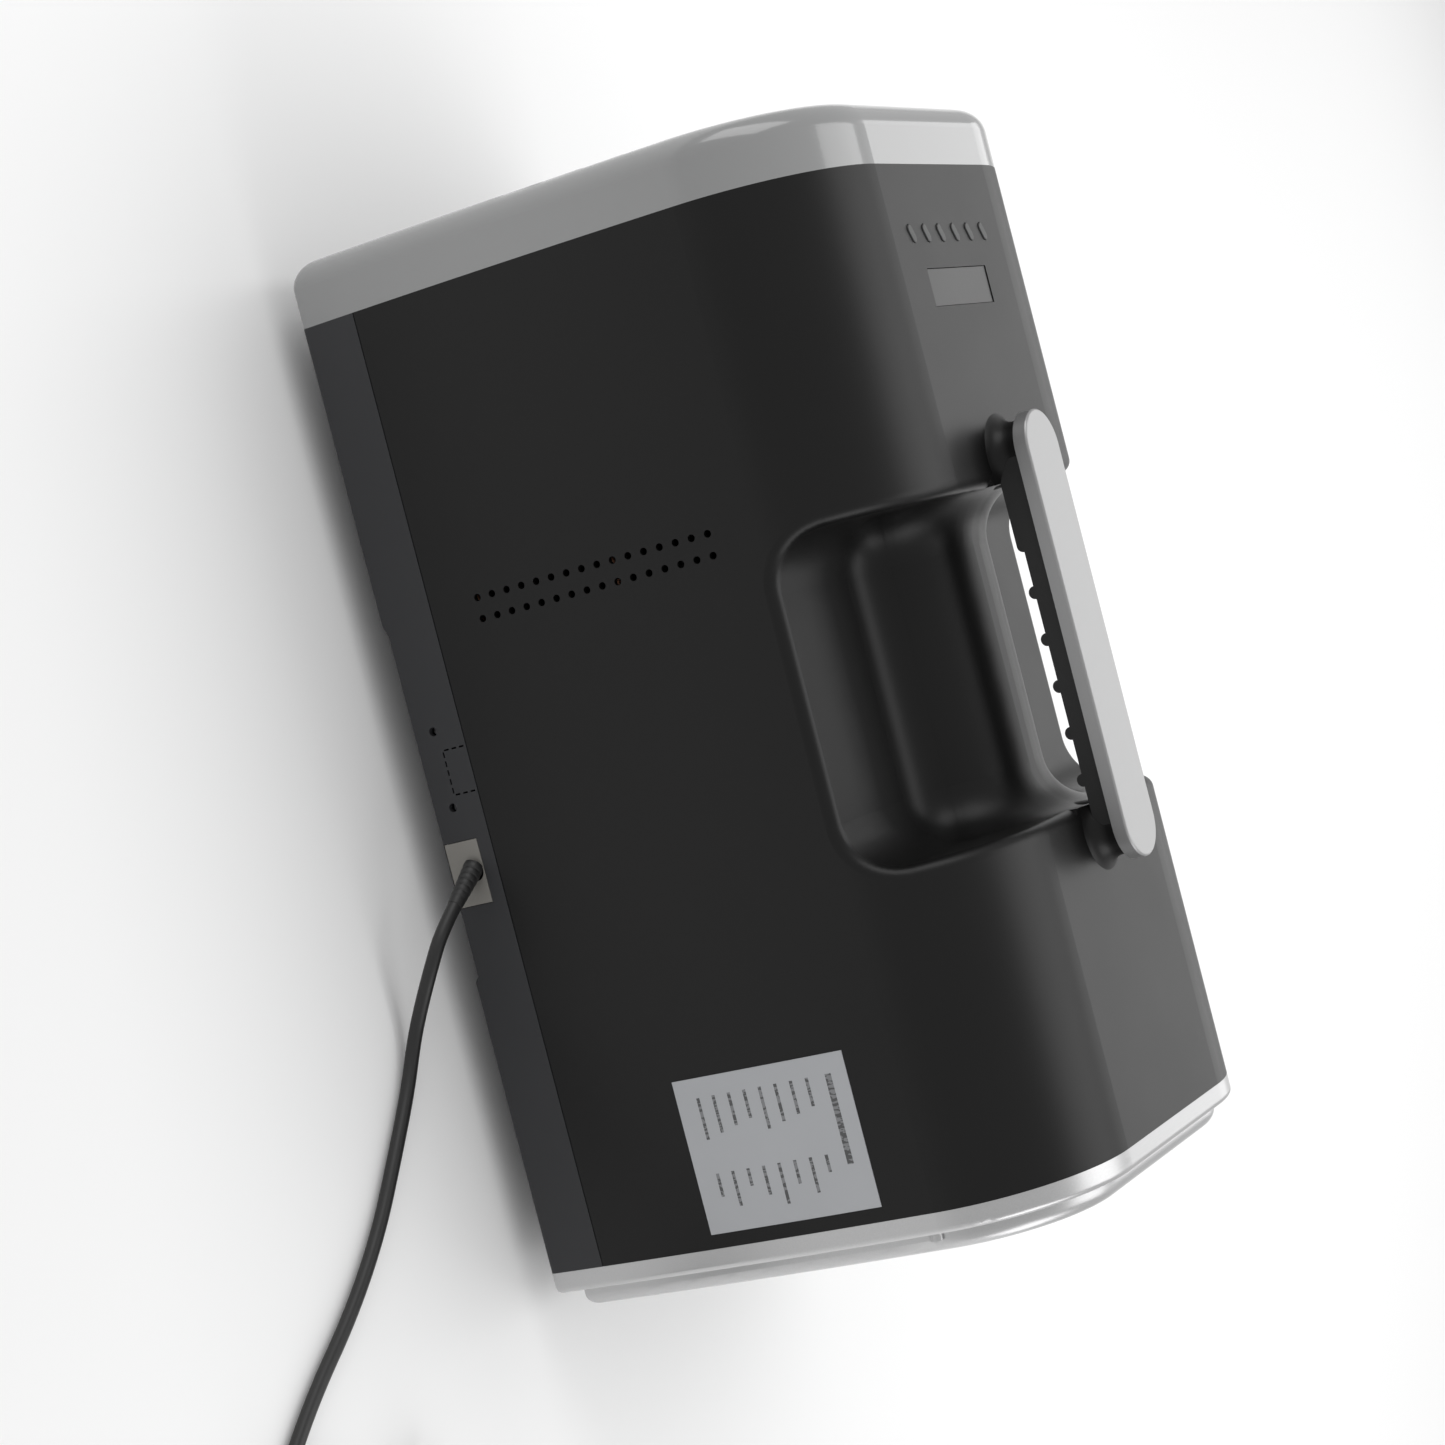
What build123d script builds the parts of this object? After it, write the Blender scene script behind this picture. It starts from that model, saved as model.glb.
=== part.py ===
from build123d import *

import os
from math import cos, pi, radians, sin, tan

os.makedirs("parts", exist_ok=True)

# Portable air conditioner, laid out along X: the front bezel blows towards -X,
# the rear cover with its duct collar faces +X, and the handle is on top.
# Millimetres, +Z up, origin on the floor under the middle of the casing.

# ---------------------------------------------------------------- overall size
length = 500.0             # front face to rear face
width = 280.0              # widest, low on the sides
height = 300.0             # floor to the top of the handle plate
foot_height = 17.0         # floor to the underside of the base pan
handle_rise = 20.0         # handle plate above the casing's top face

# ---------------------------------------------------------------------- casing
wall = 2.6                 # moulded wall of shell, pan, bezel and frame
bezel_depth = 30.0         # front bezel, along X
rim_depth = 10.0           # rear frame, along X
plinth_depth = 10.0        # how far the rear cover stands behind the rear frame
plinth_inset = 10.0        # how far the rear cover steps in from the casing
shoulder_radius = 72.0     # the two large upper corners
shoulder_inset = 18.0      # each side leans in by this much, bottom to top
side_bow = 5.0             # each side swells by this much at half height
base_edge = 4.0            # lower corners of the casing
pan_side = 30.0            # height of the base pan's visible side strip
seam_gap = 0.5             # shadow line between shell and pan
lip_height = 6.0           # the pan's inner lip above the seam
fit_gap = 0.3              # clearance around a piece that drops into a hole
screw_hole = 2.1           # clearance radius for the casing screws
screw_radius = 2.0
screw_head = 3.8
screw_head_height = 2.4

front_face = -length / 2
rear_face = length / 2
body_front = front_face + bezel_depth
body_rear = rear_face - rim_depth - plinth_depth
body_length = body_rear - body_front
body_mid = (body_front + body_rear) / 2
half_width = width / 2
pan_bottom = foot_height
body_top = height - handle_rise
seam = pan_bottom + pan_side
far = length               # a reach that clears the casing in any direction


def casing_block(x_low, x_high, inset=0.0):
    """The casing's cross-section, pulled in by inset, between two places on X."""
    with BuildPart() as block:
        with BuildSketch(Plane.YZ.offset(x_low)) as section:
            with BuildLine():
                base_left = (-half_width, pan_bottom)
                base_right = (half_width, pan_bottom)
                top_left = (shoulder_inset - half_width, body_top)
                top_right = (half_width - shoulder_inset, body_top)
                swell = half_width - shoulder_inset / 2 + side_bow
                middle = (pan_bottom + body_top) / 2
                ThreePointArc(base_left, (-swell, middle), top_left)
                Line(top_left, top_right)
                ThreePointArc(top_right, (swell, middle), base_right)
                Line(base_right, base_left)
            make_face()
            fillet(section.vertices().group_by(Axis.Y)[-1], radius=shoulder_radius)
            fillet(section.vertices().group_by(Axis.Y)[0], radius=base_edge)
            if inset:
                offset(amount=-inset, kind=Kind.TANGENT if inset < 0 else Kind.ARC)
        extrude(amount=x_high - x_low)
    return block.part


def box_between(low, high):
    """A plain block from its lowest to its highest corner."""
    size = [high[axis] - low[axis] for axis in range(3)]
    middle = [(high[axis] + low[axis]) / 2 for axis in range(3)]
    with BuildPart() as block:
        with BuildSketch(Plane.XY.offset(low[2])):
            with Locations((middle[0], middle[1])):
                Rectangle(size[0], size[1])
        extrude(amount=size[2])
    return block.part


def rod(start, end, radius):
    """A round bar between two points."""
    axis = Vector(*end) - Vector(*start)
    with BuildPart() as block:
        with BuildSketch(Plane(origin=start, z_dir=axis)):
            Circle(radius)
        extrude(amount=axis.length)
    return block.part


def tube_along(points, radii, radius, bore=0.0):
    """A pipe along straight runs joined by tangent arcs."""
    with BuildPart() as pipe:
        with BuildLine() as path:
            FilletPolyline(*points, radius=radii)
        with BuildSketch(path.line ^ 0):
            Circle(radius)
            if bore:
                Circle(bore, mode=Mode.SUBTRACT)
        sweep(path=path.line)
    return pipe.part


# --------------------------------------------------- hand recess and its handle
recess_length = 151.0      # along X, centred on the casing
shelf_outer_drop = 65.5    # casing top down to the recess's lip in the side wall
shelf_inner_drop = 62.0    # casing top down to the foot of the neck
neck_drop = 25.0           # casing top down to the neck, under the fingers
neck_half = 30.0           # half the neck's width at its top
neck_root_half = 50.0      # half the neck's width where it meets the shelves
neck_root_radius = 24.0
neck_edge_radius = 45.0
recess_corner = 24.0       # blend between the recess's floor and its ends
lip_radius = 6.0           # rounding where the recess meets the outside

plate_length = 210.0
plate_width = 35.0
plate_thickness = 7.0
plate_edge = 1.2
boss_spacing = 176.0       # centres of the two handle bosses, along X
boss_radius = 14.0
boss_flare = 9.0           # radius of the boss's spread into the casing
boss_depth = 9.0           # how far the boss reaches below the casing's top face
boss_sink = 0.6            # the spread ends this far below the top face
grip_width = 28.0
grip_height = 9.5
bump_radius = 3.0          # finger bumps under the grip
bump_pitch = 22.0
bump_count = 6
bump_shift = 9.0           # middle of the finger bumps, behind the middle of the casing

recess_low = body_mid - recess_length / 2
plate_bottom = height - plate_thickness
boss_places = [body_mid - boss_spacing / 2, body_mid + boss_spacing / 2]


def recess_block(grow=0.0):
    """The space cut out of the casing for the hands, enlarged by grow."""
    neck_top = body_top - neck_drop
    shelf_outer = body_top - shelf_outer_drop
    shelf_inner = body_top - shelf_inner_drop
    above = body_top + recess_length
    with BuildPart() as block:
        with BuildSketch(Plane.YZ.offset(recess_low - grow)):
            with BuildLine():
                FilletPolyline(
                    (-width, shelf_outer),
                    (-neck_root_half, shelf_inner),
                    (-neck_half, neck_top),
                    (neck_half, neck_top),
                    (neck_root_half, shelf_inner),
                    (width, shelf_outer),
                    radius=[neck_root_radius, neck_edge_radius, neck_edge_radius, neck_root_radius],
                )
                Polyline((width, shelf_outer), (width, above), (-width, above), (-width, shelf_outer))
            make_face()
            if grow:
                offset(amount=grow)
        extrude(amount=recess_length + 2 * grow)
        floor_edges = block.edges().filter_by(Axis.X, reverse=True)
        floor_edges = floor_edges.filter_by_position(Axis.Z, 0, neck_top + 1)
        end_planes = [recess_low - grow, recess_low + recess_length + grow]
        end_edges = [
            edge for edge in floor_edges
            if min(abs(edge.center().X - place) for place in end_planes) < fit_gap / 10
        ]
        fillet(end_edges, radius=recess_corner + grow)
    return block.part


def boss_block(place, grow=0.0):
    """One handle boss: a post that spreads into the casing's top face."""
    radius = boss_radius + grow
    low = body_top - boss_depth - grow
    spread_low = body_top - boss_sink
    with BuildPart() as block:
        with BuildSketch(Plane.XZ):
            with BuildLine():
                Line((0, low), (radius + boss_flare, low))
                Line((radius + boss_flare, low), (radius + boss_flare, spread_low))
                cut_in = boss_flare * (1 - sin(radians(45)))
                ThreePointArc((radius + boss_flare, spread_low), (radius + cut_in, spread_low + cut_in),
                              (radius, spread_low + boss_flare))
                Line((radius, spread_low + boss_flare), (radius, plate_bottom))
                Line((radius, plate_bottom), (0, plate_bottom))
                Line((0, plate_bottom), (0, low))
            make_face()
        revolve(axis=Axis.Z)
    return block.part.moved(Location((place, 0, 0)))


casing_outer = casing_block(body_front, body_rear)
casing_inner = casing_block(body_front - wall, body_rear + wall, wall)
recess_cut = recess_block()
recess_skin = recess_block(wall)

# --------------------------------------------------------------- control strip
key_count = 6
key_pitch = 15.6
key_length = 9.0
key_width = 4.2
key_slant = 30.0           # degrees, each key lies across its row
key_row = 32.0             # row of keys, behind the casing's front edge
key_proud = 0.6
key_travel = 1.2
key_gap = 0.25
window_length = 64.0       # along Y
window_depth = 17.0        # along X
window_row = 57.0          # middle of the window, behind the casing's front edge
window_groove = 1.0        # shallow groove at each side of the window

key_x = body_front + key_row
window_x = body_front + window_row

# ------------------------------------------------------------------------ vents
vent_radius = 1.7
vent_rows = 16
vent_pitch = 7.96
vent_columns = 2
vent_column_pitch = 9.8
vent_x = body_front + 144.6
vent_middle = 133.0        # height of the middle of the two rows

with BuildPart() as upper_shell:
    add(casing_outer)
    split(bisect_by=Plane.XY.offset(seam + seam_gap), keep=Keep.TOP)
    add(recess_cut, mode=Mode.SUBTRACT)
    fillet(upper_shell.edges(Select.NEW), radius=lip_radius)
    for place in boss_places:
        add(boss_block(place) - recess_cut)
        add(rod((place, 0, body_top - boss_depth), (place, 0, plate_bottom), boss_radius))
    add(casing_inner - recess_skin, mode=Mode.SUBTRACT)
    with Locations(*[(place, 0, body_top) for place in boss_places]):
        Hole(screw_hole)
    with BuildSketch(Plane.XZ.offset(half_width + wall)):
        with Locations((vent_x, vent_middle)):
            with GridLocations(vent_column_pitch, vent_pitch, vent_columns, vent_rows):
                Circle(vent_radius)
    extrude(amount=-shoulder_inset, mode=Mode.SUBTRACT)
    with BuildSketch(Plane.XY.offset(body_top - 2 * wall)):
        with Locations((key_x, 0)):
            with GridLocations(1, key_pitch, 1, key_count):
                SlotOverall(key_length + 2 * key_gap, key_width + 2 * key_gap, rotation=key_slant)
        with Locations((window_x, 0)):
            Rectangle(window_depth + 2 * fit_gap, window_length + 2 * fit_gap)
    extrude(amount=3 * wall, mode=Mode.SUBTRACT)
upper_shell.part.label = "upper_shell"
export_step(upper_shell.part, "parts/upper_shell.step")

# -------------------------------------------------------------------- base pan
recess_step = 4.0          # the pan's underside rises by this much in the middle
step_front = 138.0         # where the step starts and ends, from the casing's front
step_rear = 308.0
step_slope = 8.0
pan_floor = 3.0
lip_wall = 1.6
drain_y = 108.0
drain_height = 41.0
drain_radius = 6.0         # outside of the spout
drain_bore = 4.0
drain_gap = 0.05
drain_cap_radius = 7.5
drain_travel = 16.0

plate_from_front = 245.5   # cord plate, from the casing's front edge
cord_plate_length = 30.0
cord_plate_drop = 7.5      # seam down to the cord plate
cord_plate_height = 18.0
cord_plate_depth = 4.0
cord_diameter = 6.6

knockout_from_front = 203.0
knockout_length = 21.0
knockout_height = 13.0
dash_length = 2.6
dash_width = 0.8
dash_pitch = 4.2
pan_screw_places = [193.5, 229.5]    # from the casing's front edge, beside the knock-out
pan_screw_drop = 15.5

cord_plate_x = body_front + plate_from_front
cord_plate_z = seam - cord_plate_drop - cord_plate_height
knockout_x = body_front + knockout_from_front

with BuildPart() as base_pan:
    add(casing_block(body_front, body_rear))
    split(bisect_by=Plane.XY.offset(seam), keep=Keep.BOTTOM)
    add(casing_inner, mode=Mode.SUBTRACT)
    with BuildSketch(Plane.XZ.offset(-half_width + base_edge)):
        with BuildLine():
            Polyline(
                (body_front, pan_bottom),
                (body_front + step_front, pan_bottom),
                (body_front + step_front + step_slope, pan_bottom + recess_step),
                (body_front + step_rear, pan_bottom + recess_step),
                (body_front + step_rear + step_slope / 2, pan_bottom),
                (body_rear, pan_bottom),
                (body_rear, pan_bottom + pan_floor),
                (body_front + step_rear + step_slope / 2, pan_bottom + pan_floor),
                (body_front + step_rear, pan_bottom + pan_floor + recess_step),
                (body_front + step_front + step_slope, pan_bottom + pan_floor + recess_step),
                (body_front + step_front, pan_bottom + pan_floor),
                (body_front, pan_bottom + pan_floor),
                close=True,
            )
        make_face()
    extrude(amount=width - 2 * base_edge)
    with BuildSketch(Plane.XZ.offset(-width)):
        with BuildLine():
            Polyline(
                (body_front + step_front, pan_bottom),
                (body_front + step_front + step_slope, pan_bottom + recess_step),
                (body_front + step_rear, pan_bottom + recess_step),
                (body_front + step_rear + step_slope / 2, pan_bottom),
                (body_front + step_rear + step_slope / 2, pan_bottom - recess_step),
                (body_front + step_front, pan_bottom - recess_step),
                close=True,
            )
        make_face()
    extrude(amount=2 * width, mode=Mode.SUBTRACT)
    lip_inset = wall + fit_gap / 2
    pan_lip = casing_block(body_front + wall, body_rear - wall, lip_inset)
    pan_lip &= box_between((-far, -far, seam), (far, far, seam + lip_height))
    lip_root = casing_block(body_front + wall, body_rear - wall, wall / 2)
    lip_root &= box_between((-far, -far, seam - lip_height), (far, far, seam))
    pan_lip += lip_root
    pan_lip -= casing_block(body_front, body_rear, lip_inset + lip_wall)
    add(pan_lip)
    with BuildSketch(Plane.XZ.offset(half_width + wall)):
        for row in range(2):
            for dash in range(3):
                with Locations(
                    (
                        knockout_x + row * knockout_length,
                        seam - knockout_height + (dash + 0.5) * dash_pitch,
                    )
                ):
                    Rectangle(dash_width, dash_length)
        with Locations((knockout_x + knockout_length / 2, seam - knockout_height)):
            with GridLocations(dash_pitch, 1, 5, 1):
                Rectangle(dash_length, dash_width)
        for place in pan_screw_places:
            with Locations((body_front + place, seam - pan_screw_drop)):
                Circle(screw_hole)
    extrude(amount=-3 * wall, mode=Mode.SUBTRACT)
    add(
        box_between(
            (cord_plate_x - fit_gap, -width, cord_plate_z - fit_gap),
            (
                cord_plate_x + cord_plate_length + fit_gap,
                cord_plate_depth + wall - half_width,
                cord_plate_z + cord_plate_height + fit_gap,
            ),
        ),
        mode=Mode.SUBTRACT,
    )
base_pan.part.label = "base_pan"
export_step(base_pan.part, "parts/base_pan.step")

foot_radius = 8.0
foot_spacing_x = 368.0
foot_inset_rear = 36.0     # centre of a rear foot, in from the widest part
foot_inset_front = 42.0
foot_taper = 6.0
foot_places = [
    (body_mid + end * foot_spacing_x / 2, side * (half_width - inset))
    for end, inset in ((-1, foot_inset_front), (1, foot_inset_rear))
    for side in (-1, 1)
]
with BuildPart() as rubber_feet:
    with BuildSketch(Plane.XY.offset(foot_height)):
        with Locations(*foot_places):
            Circle(foot_radius)
    extrude(amount=-foot_height, taper=foot_taper)
    fillet(rubber_feet.edges().group_by(Axis.Z)[0], radius=1)
rubber_feet.part.label = "rubber_feet"
export_step(rubber_feet.part, "parts/rubber_feet.step")

# ---------------------------------------------------------------- front bezel
bezel_wall = 3.0
bezel_round = 12.0         # soft outer edge of the front bezel
mouth_width = 206.0
mouth_low = 42.0
mouth_high = 250.0
mouth_corner = 34.0
panel_back = 6.0           # how deep the front panel sits inside the bezel
panel_thickness = 3.0
spigot_depth = 3.0         # the bezel's rear edge laps inside the shell
outlet_width = 184.0
outlet_low = 152.0
outlet_high = 238.0
intake_low = 54.0
intake_high = 134.0
duct_wall = 2.4
duct_depth = 30.0

with BuildPart() as front_bezel:
    add(casing_block(front_face, body_front))
    fillet(front_bezel.faces().sort_by(Axis.X)[0].edges(), radius=bezel_round)
    hollow = casing_block(front_face + bezel_wall, body_front + 1, bezel_wall)
    hollow = hollow.fillet(bezel_round - bezel_wall, hollow.faces().sort_by(Axis.X)[0].edges())
    add(hollow, mode=Mode.SUBTRACT)
    with BuildSketch(Plane.YZ.offset(front_face - 1)):
        with Locations((0, (mouth_low + mouth_high) / 2)):
            RectangleRounded(mouth_width, mouth_high - mouth_low, mouth_corner)
    extrude(amount=bezel_wall + 2, mode=Mode.SUBTRACT)
    rear_lap = casing_block(body_front - wall, body_front, wall / 2)
    rear_lap += casing_block(body_front, body_front + spigot_depth, wall + fit_gap)
    rear_lap -= casing_block(body_front - 2 * wall, body_front + 2 * spigot_depth, 2 * wall)
    rear_lap &= box_between((-far, -far, seam + 2 * lip_height), (far, far, far))
    add(rear_lap)
front_bezel.part.label = "front_bezel"
export_step(front_bezel.part, "parts/front_bezel.step")

panel_x = front_face + panel_back
pivot_x = panel_x + 9.0
louvre_count = 5
louvre_pitch = 16.0
louvre_chord = 17.0
louvre_thickness = 2.2
louvre_low = 163.0
pin_radius = 1.6
pin_gap = 0.06
crank_offset = 7.0         # crank pin behind the louvre's own pivot
crank_radius = 1.2
link_side = 5.5            # room beside the louvres for the link
link_thickness = 1.8
link_width = 5.0
louvre_heights = [louvre_low + louvre_pitch * step for step in range(louvre_count)]
outlet_half = outlet_width / 2

with BuildPart() as front_panel:
    with BuildSketch(Plane.YZ.offset(panel_x)):
        with Locations((0, (mouth_low + mouth_high) / 2)):
            RectangleRounded(mouth_width + 2 * bezel_wall, mouth_high - mouth_low + 2 * bezel_wall, mouth_corner)
        with Locations((0, (outlet_low + outlet_high) / 2)):
            Rectangle(outlet_width, outlet_high - outlet_low, mode=Mode.SUBTRACT)
        with Locations((0, (intake_low + intake_high) / 2)):
            Rectangle(outlet_width, intake_high - intake_low, mode=Mode.SUBTRACT)
    extrude(amount=panel_thickness)
    with BuildSketch(Plane.YZ.offset(panel_x)):
        with Locations((0, (outlet_low + outlet_high) / 2)):
            Rectangle(outlet_width + 2 * duct_wall, outlet_high - outlet_low + 2 * duct_wall)
            Rectangle(outlet_width, outlet_high - outlet_low, mode=Mode.SUBTRACT)
    extrude(amount=duct_depth)
    with BuildSketch(Plane.XZ.offset(-width)):
        with Locations(*[(pivot_x, place) for place in louvre_heights]):
            Circle(pin_radius + pin_gap)
    extrude(amount=2 * width, mode=Mode.SUBTRACT)
front_panel.part.label = "front_panel"
export_step(front_panel.part, "parts/front_panel.step")

vane_low = link_side - outlet_half
vane_high = outlet_half - 1.0
for step, place in enumerate(louvre_heights):
    with BuildPart() as louvre:
        with BuildSketch(Plane.XZ.offset(-vane_high)):
            with Locations((pivot_x, place)):
                SlotOverall(louvre_chord, louvre_thickness)
                Circle(pin_radius + 0.4)
        extrude(amount=vane_high - vane_low)
        add(rod((pivot_x, vane_high, place), (pivot_x, outlet_half + duct_wall, place), pin_radius))
        add(rod((pivot_x, vane_low, place), (pivot_x, -outlet_half - duct_wall, place), pin_radius))
        crank = (pivot_x + crank_offset, vane_low, place)
        crank_end = (pivot_x + crank_offset, vane_low - link_side + 1, place)
        add(rod(crank, crank_end, crank_radius))
    louvre.part.label = f"louvre_{step + 1}"
    export_step(louvre.part, f"parts/louvre_{step + 1}.step")

with BuildPart() as louvre_link:
    link_middle = (louvre_heights[0] + louvre_heights[-1]) / 2
    link_length = louvre_heights[-1] - louvre_heights[0] + link_width
    with BuildSketch(Plane.XZ.offset(-vane_low + 1.0)):
        with Locations((pivot_x + crank_offset, link_middle)):
            SlotOverall(link_length, link_width, rotation=90)
        with Locations(*[(pivot_x + crank_offset, place) for place in louvre_heights]):
            Circle(crank_radius + pin_gap, mode=Mode.SUBTRACT)
    extrude(amount=link_thickness)
louvre_link.part.label = "louvre_link"
export_step(louvre_link.part, "parts/louvre_link.step")

# --------------------------------------------------- intake grille and filter
slat_count = 9
slat_thickness = 2.0
slat_depth = 7.0
grille_frame = 5.0
grille_flange = 4.0
flange_thickness = 1.6
slat_nose = 1.0            # how far the slats stand in front of the panel
mullion_width = 2.0
filter_depth = 5.0
mesh_thickness = 0.8
grille_low = intake_low + fit_gap
grille_high = intake_high - fit_gap
grille_half = outlet_half - fit_gap

with BuildPart() as intake_grille:
    with BuildSketch(Plane.YZ.offset(panel_x - flange_thickness)):
        with Locations((0, (intake_low + intake_high) / 2)):
            flange_height = intake_high - intake_low + 2 * grille_flange
            RectangleRounded(outlet_width + 2 * grille_flange, flange_height, grille_flange)
            Rectangle(outlet_width - 2 * grille_frame, intake_high - intake_low - 2 * grille_frame,
                      mode=Mode.SUBTRACT)
    extrude(amount=flange_thickness)
    with BuildSketch(Plane.YZ.offset(panel_x)):
        with Locations((0, (intake_low + intake_high) / 2)):
            Rectangle(2 * grille_half, grille_high - grille_low)
            Rectangle(outlet_width - 2 * grille_frame, intake_high - intake_low - 2 * grille_frame,
                      mode=Mode.SUBTRACT)
    extrude(amount=slat_depth)
    slat_span = intake_high - intake_low - 2 * grille_frame
    for step in range(slat_count):
        slat_z = intake_low + grille_frame + slat_span * (step + 1) / (slat_count + 1)
        add(
            box_between(
                (panel_x - slat_nose, grille_frame - outlet_half - 1, slat_z - slat_thickness / 2),
                (panel_x + slat_depth, outlet_half - grille_frame + 1, slat_z + slat_thickness / 2),
            )
        )
    for sign in (-1, 0, 1):
        add(
            box_between(
                (panel_x + 1, (sign * outlet_half - mullion_width) / 2, grille_low + 1),
                (panel_x + slat_depth, (sign * outlet_half + mullion_width) / 2, grille_high - 1),
            )
        )
intake_grille.part.label = "intake_grille"
export_step(intake_grille.part, "parts/intake_grille.step")

filter_x = panel_x + slat_depth
filter_height = grille_high - grille_low
filter_ribs = 3            # the frame is split into this many windows
with BuildPart() as air_filter:
    with BuildSketch(Plane.YZ.offset(filter_x)):
        with Locations((0, (intake_low + intake_high) / 2)):
            Rectangle(2 * grille_half, filter_height)
            with GridLocations(outlet_width / filter_ribs, 1, filter_ribs, 1):
                Rectangle(outlet_width / filter_ribs - grille_frame, slat_span, mode=Mode.SUBTRACT)
    extrude(amount=filter_depth)
    with BuildSketch(Plane.YZ.offset(filter_x + (filter_depth - mesh_thickness) / 2)):
        with Locations((0, (intake_low + intake_high) / 2)):
            Rectangle(2 * grille_half - grille_frame, filter_height - grille_frame)
    extrude(amount=mesh_thickness)
air_filter.part.label = "air_filter"
export_step(air_filter.part, "parts/air_filter.step")

# ------------------------------------------------------- rear frame and cover
rim_round = 3.0
cover_round = 6.0
cover_wall = 2.4
duct_radius = 54.0         # clear inside of the exhaust collar
duct_height = 190.0
collar_wall = 3.0
collar_depth = 26.0
collar_lip = 4.0
rear_intake_low = 46.0
rear_intake_high = 112.0
rear_intake_width = 190.0
post_drop = 71.0           # casing top down to the post on the rear cover's side
post_radius = 3.2
rib_radius = 1.4
rib_drops = [40.0, 34.0, 28.0, 22.0]

cover_inset = plinth_inset + wall
with BuildPart() as rear_frame:
    add(casing_block(body_rear, body_rear + rim_depth))
    fillet(rear_frame.faces().sort_by(Axis.X)[-1].edges(), radius=rim_round)
    add(casing_block(body_rear - 1, body_rear + rim_depth + 1, cover_inset), mode=Mode.SUBTRACT)
    rear_lap = casing_block(body_rear - spigot_depth, body_rear + 1, wall + fit_gap)
    rear_lap -= casing_block(body_rear - 2 * spigot_depth, body_rear + 2, cover_inset)
    rear_lap &= box_between((-far, -far, seam + 2 * lip_height), (far, far, far))
    add(rear_lap)
rear_frame.part.label = "rear_frame"
export_step(rear_frame.part, "parts/rear_frame.step")

with BuildPart() as rear_cover:
    add(casing_block(body_rear + rim_depth, rear_face, plinth_inset))
    fillet(rear_cover.faces().sort_by(Axis.X)[-1].edges(), radius=cover_round)
    add(casing_block(body_rear + 1, body_rear + rim_depth, cover_inset + fit_gap))
    add(casing_block(body_rear, rear_face - cover_wall, cover_inset + fit_gap + wall), mode=Mode.SUBTRACT)
    for sign in (-1, 1):
        side_edge = half_width - plinth_inset - shoulder_inset / 2
        post_z = body_top - post_drop
        post = rod((body_rear + rim_depth, sign * side_edge, post_z),
                   (rear_face - cover_round, sign * side_edge, post_z), post_radius)
        add(post)
    with BuildSketch(Plane.YZ.offset(rear_face + 1)):
        with Locations((0, duct_height)):
            Circle(duct_radius + collar_wall + fit_gap)
        with Locations((0, (rear_intake_low + rear_intake_high) / 2)):
            RectangleRounded(rear_intake_width, rear_intake_high - rear_intake_low, cover_round)
        with Locations((drain_y, drain_height)):
            Circle(drain_cap_radius + fit_gap)
    extrude(amount=-plinth_depth, mode=Mode.SUBTRACT)
rear_cover.part.label = "rear_cover"
export_step(rear_cover.part, "parts/rear_cover.step")

# ------------------------------------------------------------- exhaust section
guard_wire = 1.2
guard_rings = [16.0, 29.0, 42.0]
fan_radius = 59.0
fan_gap = 2.5
fan_hub_radius = 17.0
fan_width = 26.0
fan_blades = 7
fan_blade_thickness = 2.0
fan_blade_pitch = 32.0     # degrees
shroud_wall = 2.4
motor_radius = 27.0
motor_length = 44.0
motor_gap = 4.0
shaft_radius = 4.0
shaft_gap = 0.05
arm_width = 8.0
collar_front = rear_face - 1.0 - collar_depth
shroud_front = collar_front - 52.0
fan_x = shroud_front + 24.0
motor_rear = fan_x - fan_width / 2 - motor_gap

with BuildPart() as duct_collar:
    with BuildSketch(Plane.YZ.offset(collar_front)):
        with Locations((0, duct_height)):
            Circle(duct_radius + collar_wall)
            Circle(duct_radius, mode=Mode.SUBTRACT)
    extrude(amount=collar_depth)
    with BuildSketch(Plane.YZ.offset(collar_front)):
        with Locations((0, duct_height)):
            Circle(fan_radius + fan_gap + shroud_wall)
            Circle(duct_radius, mode=Mode.SUBTRACT)
    extrude(amount=collar_lip)
duct_collar.part.label = "duct_collar"
export_step(duct_collar.part, "parts/duct_collar.step")

with BuildPart() as duct_guard:
    guard_x = collar_front - 2 * guard_wire
    for ring in guard_rings:
        with BuildSketch(Plane.YZ.offset(guard_x)):
            with Locations((0, duct_height)):
                Circle(ring + guard_wire)
                Circle(ring - guard_wire, mode=Mode.SUBTRACT)
        extrude(amount=2 * guard_wire)
    with BuildSketch(Plane.YZ.offset(guard_x)):
        with Locations((0, duct_height)):
            for turn in (0, 60, 120):
                Rectangle(2 * (fan_radius + fan_gap) - shaft_gap, 2 * guard_wire, rotation=turn)
    extrude(amount=2 * guard_wire)
duct_guard.part.label = "duct_guard"
export_step(duct_guard.part, "parts/duct_guard.step")

with BuildPart() as fan_shroud:
    with BuildSketch(Plane.YZ.offset(shroud_front)):
        with Locations((0, duct_height)):
            Circle(fan_radius + fan_gap + shroud_wall)
            Circle(fan_radius + fan_gap, mode=Mode.SUBTRACT)
    extrude(amount=collar_front - shroud_front)
    with BuildSketch(Plane.YZ.offset(shroud_front)):
        with Locations((0, duct_height)):
            Circle(motor_radius + shroud_wall)
            for turn in (45, 135):
                Rectangle(2 * (fan_radius + fan_gap + shroud_wall / 2), arm_width, rotation=turn)
            Circle(motor_radius, mode=Mode.SUBTRACT)
    extrude(amount=-arm_width)
    with BuildSketch(Plane.YZ.offset(shroud_front - arm_width)):
        with Locations((0, duct_height)):
            Circle(fan_radius + fan_gap + shroud_wall)
            Circle(fan_radius + fan_gap - arm_width / 2, mode=Mode.SUBTRACT)
    extrude(amount=arm_width)
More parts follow.
